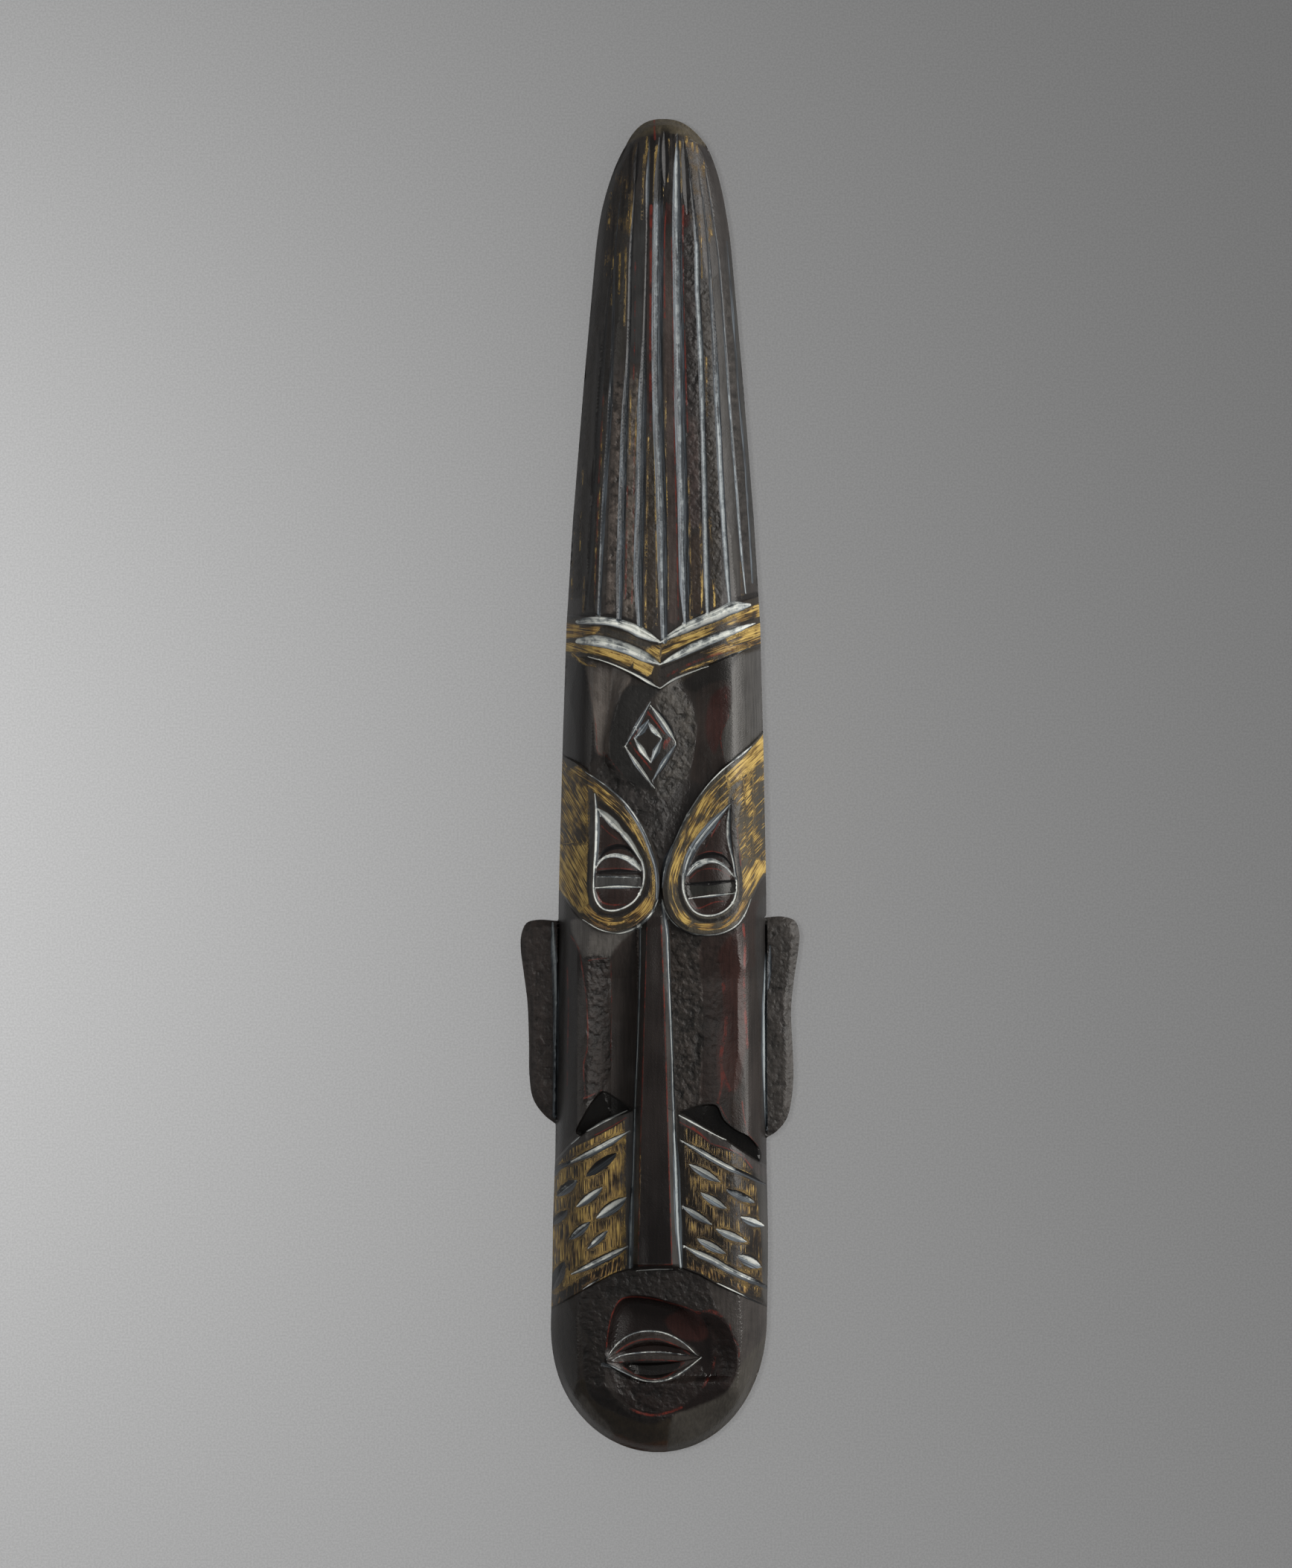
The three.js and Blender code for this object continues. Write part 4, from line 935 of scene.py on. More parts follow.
# Other cuts: look, points, half width, amount of white, steepness.
CUTS = [
    # Headband.
    ("band", [(-31, 61.3), (-24, 61.7), (-18, 61.1), (-12, 59.4), (-6, 56.5), (0, 53.5)],
     [(0, 0.8), (0.15, 1.5), (0.4, 1.6), (0.75, 2.1), (0.9, 1.3), (1, 0.2)], 0.95, 0.9),
    ("band", [(0, 53.5), (4, 55.9), (10, 59), (16, 61.6), (22, 64), (27, 66.4), (33.5, 67.6)],
     [(0, 0.2), (0.1, 1), (0.3, 2), (0.6, 2.2), (0.85, 2.4), (1, 0.6)], 0.95, 0.9),
    ("band", [(-30.6, 54), (-24, 54.1), (-18, 52.9), (-12, 51), (-6, 48.2), (0, 45.2)],
     [(0, 1.2), (0.2, 2.2), (0.5, 2.1), (0.8, 2), (0.92, 1.1), (1, 0.2)], 1, 0.9),
    ("band", [(0, 45.2), (6, 48.3), (12, 51.3), (18, 53.9), (24, 56.3), (30, 58.7), (35.5, 60.8)],
     [(0, 0.2), (0.12, 1.1), (0.35, 1.8), (0.6, 1.6), (0.85, 1.1), (1, 0.2)], 0.95, 0.9),
    ("line", [(-27, 48.1), (-20, 46.1), (-14, 43.7), (-8, 40.8), (-4, 38.4), (-0.2, 36.2)],
     [(0, 0.15), (0.3, 0.45), (0.6, 0.5), (0.85, 1), (1, 0.15)], 1.2, 0.8),
    ("line", [(-0.2, 36.2), (5, 39.6), (10, 41.8), (15, 43.6), (18, 44.6)],
     [(0, 0.15), (0.3, 0.6), (0.6, 0.5), (1, 0.1)], 1.1, 0.8),
    ("line", [(21, 46.4), (26, 48.4), (33.5, 51.6)], (0.15, 0.4, 0.15), 0.6, 0.6),
    # Dark scoops where the flutes end.
    ("dark", [(-9.4, 224), (-8.9, 233), (-8.2, 241)], tips(1, 0.1, 0.2), 0, 0.6),
    ("dark", [(1.9, 224), (2, 234), (1.6, 244.4)], tips(1.4, 0.1, 0.3), 0, 0.6),
    ("dark", [(10.2, 214), (9.7, 226), (8.8, 241.6)], tips(1.6, 0.2, 0.1), 0, 0.6),
    # Forehead.
    ("thread", [(-12.6, 15.4), (-8.2, 23), (-3.6, 31.3)], (0.3, 1.1, 0.2), 0.9, 0.7),
    ("leaf", [(-3.6, 30), (1.2, 23.6), (5.7, 16.4)],
     [(0, 0.2), (0.3, 1.4), (0.6, 1.6), (0.85, 1), (1, 0.1)], 1.2, 0.9),
    ("thread", [(5.7, 15.2), (1.6, 9), (-2.8, 1.8)], (0.3, 1.2, 0.2), 0.9, 0.8),
    ("groove", [(-13.2, 14.6), (-7.6, 6.6), (-1.9, -1.2)], [(0, 0.2), (0.4, 1.1), (0.7, 0.8), (1, 0.1)],
     1.1, 0.8),
    ("flute", [(-9.2, 17.8), (-6.7, 20.8), (-4.3, 24.4)], (0.3, 1.5, 0.3), 0.7, 0.6),
    ("band", [(-4.5, 23.8), (-2.2, 20.6), (0.4, 17.8)], (0.3, 1.3, 0.3), 0.9, 0.7),
    ("flute", [(0.6, 17.3), (-1.4, 13), (-3.4, 8.6)], (0.3, 1.5, 0.2), 0.9, 0.6),
    ("band", [(-9.6, 17.8), (-6.8, 13.2), (-3.7, 8.8)], (0.3, 1.2, 0.2), 0.9, 0.7),
    # Eye panels' outlines.
    ("line", [(-28, 5.1), (-22, 1.1), (-17, -2.7), (-13, -6.6), (-10, -10.4), (-7.5, -14.5), (-5.4, -18.4),
     (-3.6, -22.6)], [(0, 0.1), (0.2, 0.35), (0.8, 0.45), (1, 0.15)], 0.75, 0.5),
    ("sheen_film", [(-13, -7.8), (-9, -13.2), (-6, -18.4), (-3.6, -24.5), (-1.6, -31), (-1, -38), (-1.2, -42)],
     [(0, 0.2), (0.3, 0.7), (0.7, 0.8), (1, 0.5)], 0.6, 0.3),
    ("line", [(-29, -50), (-24, -53), (-19.5, -54.7), (-15, -55.1), (-10, -53.6), (-6, -50.8), (-3, -47.4),
     (-0.8, -42.6)], [(0, 0.15), (0.3, 0.4), (0.8, 0.6), (1, 0.2)], 0.95, 0.6),
    ("line", [(27, 9), (22, 4.6), (16.6, -1.2), (12.6, -7), (9.4, -12.4), (6.6, -18.2), (4.6, -22.6)],
     [(0, 0.4), (0.3, 0.35), (0.7, 0.5), (1, 0.3)], 0.95, 0.5),
    ("line", [(27, 9.2), (30.4, 11.6), (34, 14.6)], (0.5, 0.8, 0.2), 0.7, 0.5),
    ("thread", [(5, -21.6), (2.8, -27), (1.3, -33), (0.7, -38)],
     [(0, 0.3), (0.35, 1.3), (0.7, 0.8), (1, 0.4)], 0.9, 0.6),
    ("line", [(0.7, -42.4), (1.4, -45.6), (3.6, -49.6), (7, -53), (11, -55), (17, -55.9), (22, -55.4),
     (26, -53.9), (29.4, -51.4), (31.8, -47.8), (34, -42.4)],
     [(0, 0.3), (0.3, 0.3), (0.55, 0.5), (0.8, 0.45), (1, 0.15)], [(0, 0.9), (0.35, 0.5), (0.5, 1), (1, 1)],
     0.6),
    # Left teardrop, lid and slits.
    ("shine", [(-24.4, -3), (-23.7, -9), (-23.5, -16), (-23.8, -24), (-24.5, -31), (-24.8, -38)],
     [(0, 0.2), (0.3, 1), (0.6, 0.9), (0.85, 0.5), (1, 0.4)], 0.85, 0.8),
    ("line", [(-24.7, -34), (-24.8, -39), (-23.8, -43), (-21.5, -45.8), (-18, -46.7), (-14, -45.8),
     (-10, -43.4), (-7.4, -39.8), (-6.1, -35.5), (-6, -31.5), (-7, -27.6), (-9.2, -24)],
     [(0, 0.45), (0.3, 0.55), (0.75, 0.5), (1, 0.7)], 1, 0.8),
    ("band", [(-7.2, -27.8), (-9.4, -23.8), (-12.2, -19.8), (-15.4, -16.2), (-19.4, -12.2), (-23.8, -8.2)],
     [(0, 0.4), (0.2, 0.9), (0.42, 1.2), (0.5, 0.9), (0.65, 1.7), (0.85, 1.3), (1, 0.1)], 1.15, 0.9),
    ("dark", [(-23, -27.5), (-20.6, -24.4), (-16.4, -22.8), (-12.4, -23.4), (-9, -26.4)], tips(1, 0.3, 0.3),
     0, 0.7),
    ("band", [(-24, -30.6), (-21.2, -27.2), (-17, -26), (-13, -26.9), (-9.8, -28.8), (-7.2, -31.8)],
     [(0, 0.15), (0.25, 0.6), (0.6, 1), (0.8, 1.3), (1, 0.3)], 1, 0.6),
    # Painted shadow under the left lid, along the upper slit.
    ("dark", [(-23.6, -32.4), (-16, -32), (-7, -32.4)], (0.4, 0.9, 0.3), 0, 0.6),
    ("line", [(-23.4, -34), (-15, -34.1), (-7.4, -34.4)], (0.15, 0.3, 0.15), 0.6, 0.3),
    ("leaf", [(-24.2, -38.2), (-15.6, -37.7), (-7, -38)], (0.3, 0.9, 0.2), 1.2, 0.8),
    # Right teardrop, lid and slits.
    ("thread", [(26.2, -6.8), (20, -13.6), (15, -19.6), (11.4, -25.2), (9.4, -31), (8.7, -36)],
     [(0, 0.2), (0.3, 1.6), (0.7, 1.5), (0.9, 0.9), (1, 0.5)], 1, 0.8),
    ("line", [(8.8, -33), (8.7, -38.6), (10, -43), (12.6, -46.8), (16, -48.4), (20.6, -48.3), (24.6, -46.4),
     (27.4, -43.2), (28.5, -39), (28.4, -34)], [(0, 0.7), (0.4, 0.5), (0.75, 0.5), (1, 0.5)], 1, 0.8),
    ("shine", [(28.4, -35), (27.4, -28.6), (26, -22), (25.5, -15), (26, -7.4)],
     [(0, 0.5), (0.3, 0.5), (0.6, 1), (0.85, 0.8), (1, 0.15)], 0.8, 0.8),
    ("dark", [(11.2, -30.4), (14.4, -26.9), (19, -25.7), (23.4, -26.8), (26.8, -30.4)], tips(1, 0.3, 0.3),
     0, 0.7),
    ("band", [(10.2, -33.4), (13, -30), (17, -28.3), (20.6, -28.3), (24.2, -30.2), (27.6, -34)],
     [(0, 0.5), (0.25, 1.5), (0.5, 0.9), (0.75, 0.45), (1, 0.2)], 0.85, 0.6),
    # Painted shadow under the right lid, along the upper slit.
    ("dark", [(10, -36.7), (18, -36.5), (27.6, -35.5)], (0.4, 0.9, 0.4), 0, 0.6),
    ("leaf", [(10.6, -42.1), (18, -41.2), (28, -40.2)], (0.15, 0.65, 0.15), 1.2, 0.8),
    # Nose.
    ("thread",
     [(-7.3, -52.4), (-7.6, -70), (-8.2, -90), (-8.9, -108), (-9.5, -122), (-9.9, -140), (-10.4, -150)],
     [(0, 0.4), (0.3, 0.45), (0.7, 0.55), (1, 0.5)], 1.15, 0.7),
    ("flute", [(-10.4, -150), (-10.8, -162), (-11.1, -180)], (0.6, 1.1, 0.8), 0.9, 0.4),
    ("thread",
     [(0.6, -44), (1.6, -49), (2.6, -56), (3.2, -70), (3.8, -85), (4.4, -100), (4.8, -115), (5.3, -130)],
     [(0, 0.5), (0.1, 0.8), (0.5, 0.6), (1, 0.6)], 1.1, 0.7),
    ("flute", [(5.3, -130), (6, -142), (6.5, -158), (7.1, -170), (7.9, -180)],
     [(0, 0.7), (0.3, 1.4), (0.7, 1.4), (1, 0.6)], 1.15, 0.5),
    ("line", [(-8.8, -181.2), (-2, -180.7), (4.6, -180.5)], (0.15, 0.4, 0.15), 1.1, 0.6),
    # Cheek panels' edges and grooves.
    ("line", [(-27.4, -129.2), (-20, -125), (-12.4, -121.6)], [(0, 0.2), (0.4, 0.65), (1, 0.2)], 1, 0.7),
    ("line", [(-33.2, -134), (-30, -131.2)], (0.2, 0.35, 0.1), 0.7, 0.7),
    ("groove", [(-34.6, -141.4), (-28, -138.2), (-20, -133.9), (-11.4, -129)],
     [(0, 0.4), (0.3, 1.4), (0.7, 1.4), (1, 0.2)], 1, 0.9),
    ("sheen_film", [(-41, -146.6), (-37.5, -143), (-33.6, -140.8)], (1.2, 0.5), 0.2, 0.6),
    ("groove", [(-33, -182.6), (-26, -179.2), (-19, -175.7), (-12, -172)],
     [(0, 0.4), (0.4, 1.5), (0.8, 1.3), (1, 0.2)], 1, 0.9),
    ("line", [(-29, -188.3), (-25.6, -186), (-22.8, -184.6)], (0.15, 0.35, 0.15), 0.8, 0.6),
    ("line", [(7, -123), (12, -125.7), (18, -129), (24.6, -132.4)],
     [(0, 0.2), (0.3, 0.6), (0.6, 0.35), (1, 0.12)], 1.1, 0.7),
    ("groove", [(7.8, -132.6), (14, -136), (20, -139.6), (26, -142.8), (31.4, -145.2), (39.5, -149.4)],
     [(0, 0.2), (0.25, 1.2), (0.6, 1.1), (0.85, 0.9), (1, 0.3)],
     [(0, 1.1), (0.6, 1.1), (0.75, 0.1), (1, 0)], 0.9),
    ("groove",
     [(9, -172), (14, -174.6), (20, -177.4), (25, -180.4), (31, -183.4), (37, -186.4), (40.5, -188.4)],
     [(0, 0.2), (0.2, 1.5), (0.5, 1.5), (0.8, 1.2), (1, 0.5)], [(0, 1.2), (0.75, 0.9), (0.9, 0.2)], 0.9),
    ("line", [(21.4, -185.8), (26, -188), (30, -190), (34, -192.2), (38, -194.2)],
     [(0, 0.15), (0.3, 0.5), (0.6, 0.35), (1, 0.15)], [(0, 1.1), (0.5, 1), (0.7, 0.5), (1, 0.3)], 0.6),
    # Mouth.
    ("line", [(-20.2, -214.6), (-17.4, -210.4), (-14, -207.2), (-10, -205), (-6, -204.2), (-2, -204.2),
     (2, -205), (6, -206.8), (10, -209.6), (14, -213.4)], [(0, 0.2), (0.3, 0.35), (0.7, 0.4), (1, 0.2)],
     0.9, 0.4),
    ("line",
     [(-18, -214.8), (-15, -213.4), (-11, -212.6), (-6, -212.1), (-1, -212), (5, -212.5), (10.6, -213.4)],
     [(0, 0.15), (0.3, 0.4), (0.6, 0.3), (1, 0.2)], 0.65, 0.3),
    ("line", [(-21.4, -216.4), (-18, -217.3), (-14, -219.2), (-10, -221.2), (-6, -222.6), (-2, -223),
     (3, -222.2), (7, -220.4), (11, -217.6), (15.4, -214)],
     [(0, 0.8), (0.2, 0.4), (0.6, 0.35), (0.85, 0.5), (1, 0.2)], [(0, 0.3), (0.2, 0.5), (0.4, 1), (1, 0.9)],
     0.4),
    # Ears.
    ("soft", [(-40.3, -51.6), (-40, -60), (-39.4, -70), (-39.1, -82), (-39.2, -104), (-39.5, -124)],
     [(0, 0.5), (0.15, 1.2), (0.4, 1.2), (1, 0.9)], [(0, 1.1), (0.7, 0.9), (1, 0.6)], 0.4),
    ("soft", [(39.8, -62), (39.2, -78), (38.9, -96), (39.3, -114), (39.9, -129)],
     [(0, 0.4), (0.3, 1), (0.6, 1.1), (1, 0.5)], [(0, 0.7), (0.3, 1.1), (0.7, 1.1), (1, 0.7)], 0.4),
    ("sheen_film", [(41.2, -60), (41, -70), (40.6, -76)], (0.3, 0.9, 0.3), 0.3, 0.3),
]

# Leaf-shaped knife cuts of the cheek panels: from, to, half width, white.
LEAVES = [
    ((-27.8, -146), (-16.2, -137.2), 2.0, 0), ((-38.8, -153.8), (-31, -147.4), 1.9, 0.55),
    ((-31.4, -157.6), (-21.4, -150), 1.7, 1.15), ((-23.8, -161.6), (-12.6, -153.8), 2.3, 1.2),
    ((-40.5, -164.4), (-34.6, -158.8), 1.6, 0), ((-34, -169.8), (-26.2, -162.9), 1.7, 0.75),
    ((-27, -173), (-19.6, -166.2), 1.4, 0.8), ((-40.5, -189), (-35.8, -178), 2.2, 0),
    ((10.8, -141.4), (22.4, -148), 1.7, 1.15), ((15, -152), (24.8, -158), 1.6, 1.15),
    ((24.6, -150.8), (35.4, -156), 1.6, 0.35), ((8.2, -157), (19.4, -164), 1.4, 1.15),
    ((30, -161.2), (39, -165), 1.7, 1.1), ((20.8, -165.6), (32.4, -170.6), 1.7, 1.15),
    ((13.8, -169.2), (24.4, -174.8), 1.7, 1.15), ((29, -175.4), (38, -180.4), 2.2, 1.1),
]

# Painted lines: kind, points, half width, amount.
STROKES = [
    # Headdress.
    ("gold", [(-24.3, 66), (-24.3, 80), (-22.6, 110), (-21.2, 145)], 0.3, (0.75, 0.45)),
    ("gold", [(-28.9, 64), (-28.4, 78)], 0.4, 0.55), ("gold", [(-18.2, 180), (-17.6, 205)], 0.5, 0.5),
    ("gold", [(-13.4, 172), (-13, 188), (-12.8, 208)], 0.35, 0.75),
    ("gold", [(-15.9, 215), (-13.8, 238)], 0.5, 0.6), ("gold", [(-13.5, 140), (-13, 156)], 0.3, 0.45),
    ("gold", [(-11.4, 124), (-11, 148)], 0.35, 0.6), ("gold", [(-9.2, 120), (-8.8, 152)], 0.35, 0.6),
    ("red", [(-10.6, 68), (-10, 100), (-9.6, 130)], 0.3, 0.5),
    ("red", [(-10, 150), (-9.5, 170), (-9.3, 196)], 0.35, 0.4),
    ("gold", [(-5.4, 58), (-5.5, 66), (-5.4, 82), (-4.9, 104), (-4.4, 130)], 0.35,
     [(0, 0.95), (0.4, 0.7), (1, 0.4)]),
    ("gold", [(-1.3, 60), (-1.3, 84), (-1.7, 104), (-2, 136)], 0.35, [(0, 0.6), (0.3, 0.9), (1, 0.6)]),
    ("red", [(-3.6, 130), (-3.6, 160), (-3.4, 190), (-3.4, 217)], 0.6, (0.3, 0.75, 0.7)),
    ("gold", [(2.9, 66), (2.7, 90), (2.1, 130), (1.9, 156)], 0.35, (0.7, 0.4)),
    ("red", [(6.8, 62), (6.3, 90), (5.6, 120), (5, 150), (4.8, 178), (4.3, 205)], 0.35, (0.8, 0.7)),
    ("gold", [(5.6, 164), (5.5, 182)], 0.35, 0.85), ("red", [(1.7, 175), (1.6, 205), (2.4, 218)], 0.4, 0.8),
    ("gold", [(11.6, 62), (11.4, 72), (10.9, 88), (10.4, 116)], 0.55, [(0, 1), (0.3, 0.7), (1, 0.45)]),
    ("red", [(10.3, 132), (9.6, 152), (9, 172), (8.4, 196), (8.6, 217)], 0.4, (0.5, 0.8, 0.9)),
    ("gold", [(15.6, 64), (15.6, 74), (15, 98)], 0.4, (0.9, 0.5)),
    ("gold", [(20.4, 64), (19.6, 84), (18.6, 100)], 0.4, 0.5),
    ("gold", [(17.6, 138), (17.2, 160)], 0.35, 0.55), ("gold", [(15.4, 190), (15.2, 210)], 0.4, 0.7),
    ("gold", [(30.8, 70), (30.4, 84)], 0.4, 0.5), ("gold", [(19.6, 180), (19.3, 190)], 0.3, 0.5),
    ("gold", [(-1.1, 224), (-0.9, 239)], 0.9, 1), ("gold", [(12.8, 216), (11.2, 236)], 0.5, 0.7),
    ("gold", [(5.8, 228), (6.3, 240)], 0.6, 0.9), ("gold", [(-4.4, 226), (-4.2, 240)], 0.4, 0.6),
    ("red", [(-2, 242), (-2.2, 250)], 0.5, 1), ("gold", [(-0.9, 214), (-1, 222)], 0.5, 0.8),
    ("gold", [(-6.8, 212), (-6, 236)], 0.4, 0.7), ("gold", [(15.8, 212), (13.4, 236)], 0.4, 0.6),
    ("gold", [(2.8, 226), (3.2, 242)], 0.35, 0.6), ("gold", [(-2.2, 218), (-1.6, 238)], 0.5, 0.9),
    ("gold", [(7.6, 222), (7.2, 241)], 0.6, 0.75), ("gold", [(11, 226), (9.8, 243)], 0.5, 0.7),
    ("gold", [(-5.6, 229), (-5, 243)], 0.4, 0.8), ("gold", [(-11.2, 206), (-9.8, 232)], 0.45, 0.65),
    ("gold", [(-15.4, 184), (-14.6, 214)], 0.4, 0.6), ("gold", [(-20.6, 190), (-18.6, 222)], 0.5, 0.5),
    ("gold", [(19.2, 206), (17, 228)], 0.5, 0.6), ("gold", [(0.8, 206), (0.9, 224)], 0.3, 0.5),
    ("dark", [(-11.6, 222), (-10.8, 240)], 0.7, 0.9), ("dark", [(-14.4, 208), (-13.4, 226)], 0.6, 0.8),
    ("dark", [(5.2, 220), (5, 244)], 0.6, 0.9), ("dark", [(12, 214), (11, 232)], 0.9, 0.9),
    ("dark", [(0.4, 232), (0.2, 242)], 0.8, 0.8), ("dark", [(-18.4, 196), (-17, 216)], 0.5, 0.7),
    ("dark", [(17.4, 196), (16, 224)], 0.5, 0.8),
    ("dark", [(-26.6, 70), (-25, 118), (-22.6, 170)], 0.5, 0.8),
    ("dark", [(-33.4, 84), (-31.6, 130), (-28.6, 168)], 0.6, 0.8),
    ("dark", [(-20.6, 66), (-19.2, 112)], 0.3, 0.7),
    ("dark", [(15.4, 100), (14.4, 150), (13.2, 176)], 0.6, 0.8),
    ("dark", [(23.2, 74), (21.4, 130)], 0.4, 0.7), ("red", [(-24.4, 70), (-23, 112), (-21, 150)], 0.4, 0.5),
    ("red", [(-13, 70), (-12.2, 112)], 0.4, 0.45), ("gold", [(-33.2, 70), (-32.2, 96)], 0.4, 0.5),
    ("gold", [(-30.2, 88), (-29, 118)], 0.35, 0.45),
    # Headband.
    ("dark", [(-33.4, 63), (-27, 64.1), (-20, 63.6), (-12, 61.9), (-5, 58), (0, 54.6)], tips(0.8, 1, 0.2),
     0.9),
    ("dark", [(0, 54.8), (6, 58.8), (12, 62), (18, 64.8), (24, 67.5), (30, 69.8), (36, 71.6)],
     [(0, 0.3), (0.4, 0.6), (1, 1.2)], 0.9),
    ("dark", [(-30, 59.4), (-20, 59.4), (-13, 57.4), (-6, 54.4), (0, 52.6)], 0.45, 0.7),
    ("dark", [(-29, 56.2), (-22, 56), (-14, 53.9), (-6, 50.4), (-0.6, 46.8)], 0.4, 0.8),
    ("dark", [(0.6, 46.6), (8, 51.4), (16, 54.9), (26, 59), (35, 62.4)], 0.45, 0.8),
    ("dark", [(0.5, 44), (8, 47), (16, 50.5), (24, 53.8)], 0.4, 0.7),
    ("dark", [(-27, 49.3), (-18, 47), (-10, 43.2), (-3, 39.2)], 0.55, 0.9),
    ("red", [(2.6, 41), (8, 44), (14, 46.6), (20, 48.8), (27, 50.4)], 0.6, 0.45),
    ("gold", [(8, 42.3), (16, 45.4), (24, 48.6), (33, 51.8)], 0.6, 0.55),
    ("gold", [(-32.4, 49), (-28.6, 46.2), (-24.6, 44.8)], 0.9, 0.8),
    # Forehead: red between the diamonds.
    ("red", [(-4.6, 27.6), (-1.6, 23.6), (1.6, 19.4)], 0.4, 0.9),
    ("red", [(3.4, 17.4), (2.2, 16.2), (1.8, 14.2)], 0.9, 0.8),
    ("red", [(-11.2, 16), (-8.6, 12.4), (-5.4, 8.6), (-3.4, 6)], 0.45, 0.8),
    ("red", [(-10.6, 17.4), (-7, 22.8), (-4.8, 26.6)], 0.3, 0.5),
    ("red", [(-21.2, 12.4), (-19, 10), (-14, 4)], 0.4, 0.6),
    ("red", [(-26.4, 38), (-24, 22), (-23, 12), (-20.6, 11)], 0.3, 0.5),
    ("red", [(24.5, 34), (25.5, 26), (22.6, 19), (24, 9)], 0.3, 0.35),
    # Left eye.
    ("dark", [(-25.6, -6), (-25.7, -18), (-26.3, -30), (-26.5, -40), (-24.8, -45.6), (-21, -48.4),
     (-15, -48), (-9.6, -45.2), (-5.6, -40.4), (-4.2, -34.6), (-4.8, -28.6), (-7.6, -22.6), (-12.4, -16.4),
     (-17.6, -10.6), (-22.6, -6.6)], 0.9, 0.95),
    ("gold", [(-26.7, -6), (-26.6, -16), (-27, -28)], 0.3, 0.7),
    ("red", [(-22, -15), (-18.6, -18.2), (-14.4, -21)], 0.3, 0.8),
    ("red", [(-19.6, -22.4), (-16, -21.6), (-12.6, -22.4)], 0.3, 0.7),
    ("red", [(-23, -31.2), (-16, -30.9), (-10, -31.3)], 0.35, 0.6),
    ("red", [(-23.2, -40), (-22.6, -42.8), (-19, -44.4), (-13, -44.4)], 0.4, 0.7),
    # Right eye.
    ("dark", [(26.8, -5.4), (27.3, -14), (28, -22), (29.4, -30), (30.2, -37), (29.4, -43), (26.6, -47.4),
     (21, -50.2), (14.6, -50), (10.2, -46.6), (7.4, -40.4), (7.2, -34)], 0.8, 0.95),
    ("dark", [(3.6, -27), (2.2, -33), (2, -40), (3.2, -45.6), (6, -50), (10, -53)], 0.8, 0.8),
    ("red", [(28.6, -12), (29, -20), (30.2, -30)], 0.3, 0.45),
    ("red", [(22.6, -12.6), (19.6, -18), (17, -23)], 0.3, 0.5),
    ("red", [(14, -26), (18, -24.6), (23, -25.2)], 0.35, 0.6),
    ("red", [(11.2, -34.6), (14, -32), (18, -31), (22, -31.4), (26, -34)], 0.3, 0.7),
    ("red", [(11.4, -44), (14, -45.8), (20, -43.6), (26, -43)], 0.35, 0.55),
    # Nose.
    ("red", [(-5, -53), (-5.6, -75), (-6.5, -105), (-7.2, -128), (-7.7, -145), (-8.2, -178)], 0.3,
     (0.5, 0.8, 0.6)),
    ("gold", [(-7.5, -138), (-7.8, -166)], 0.25, 0.45),
    ("red", [(0.4, -52), (1.3, -75), (2, -98), (2.7, -122), (3.5, -150), (4.4, -178.6)], 0.32, 0.9),
    ("red", [(-8.2, -179), (-2, -178.8), (4.4, -178.6)], 0.35, 0.6),
    # Painted shade in the slots between the nose and the cheek panels, here and in the next line.
    ("dark", [(-9, -125), (-9.1, -150), (-9.4, -178)], 0.3, 0.6),
    ("dark", [(6.6, -122), (7.9, -140), (8.9, -160), (9.6, -178)], 0.35, 0.8),
    ("gold", [(-13, -130), (-13.1, -150), (-12.9, -179)], 0.32, [(0, 0.75), (0.6, 0.6), (1, 1)]),
    # Cheeks.
    ("red",
     [(-33.6, -56), (-30.6, -60.6), (-29.2, -68), (-27.6, -80), (-27.2, -98), (-28.6, -104), (-28, -116)],
     0.35, [(0, 0.7), (0.6, 0.8), (1, 0.6)]),
    ("red", [(-34.8, -68), (-34.4, -82), (-34.6, -96), (-34.8, -118)], 0.35, (0.6, 0.6, 0.2)),
    ("red", [(-28.6, -117), (-25.4, -115.6), (-22, -114)], 0.4, 0.7),
    ("red", [(-27, -65.4), (-22, -64.6), (-18.4, -64.6)], 0.3, 0.4),
    ("red", [(-18.4, -66), (-18.2, -84), (-18.4, -100), (-18, -106)], 0.25, (0.5, 0.6)),
    ("red", [(31, -52), (31.6, -58), (31.4, -76), (32.2, -92), (32.6, -98)], 0.6,
     [(0, 1), (0.4, 0.6), (1, 0.9)]),
    ("red", [(23.6, -74), (24.6, -90), (22.6, -104), (26, -114)], 0.8, [(0, 0.3), (0.6, 0.8), (1, 0.5)]),
    ("red", [(22.4, -103), (23, -112), (21.4, -118.6)], 0.5, (0.5, 1)),
    ("red", [(22, -119), (24, -123), (26, -126)], 0.3, 0.6),
    ("red", [(30.6, -118), (31.4, -124), (33, -130), (36.6, -135)], 0.35, (0.8, 0.7, 0.2)),
    # Cheek panels.
    ("red", [(-24.4, -130.6), (-18, -127.2), (-12.6, -123.9)], 0.3, 0.95),
    ("red", [(7.3, -125.6), (14, -129.6), (19, -133.6), (24, -135.2), (30, -137.8), (34.4, -143)], 0.3,
     0.95),
    ("red", [(12, -127.4), (19.4, -133.8)], 0.4, 0.7),
    # Mouth.
    ("red",
     [(-16.6, -212.4), (-13, -209.6), (-8, -207.5), (-3, -206.9), (1, -207.4), (6, -209.6), (11, -212.8)],
     0.35, 0.95),
    ("red", [(-17, -215.8), (-12, -215.4), (-6, -214.9), (0, -214.9), (6, -215.4), (9, -215.8)], 0.3, 0.7),
    ("red", [(-14, -217.4), (-9, -220.6), (-3, -222), (2, -221.2), (6, -218.8), (9, -216)], 0.3, 0.7),
    ("red", [(-20.2, -211), (-19.3, -203), (-17.6, -196.6), (-14.4, -191.8), (-5, -191.4), (3, -193.2),
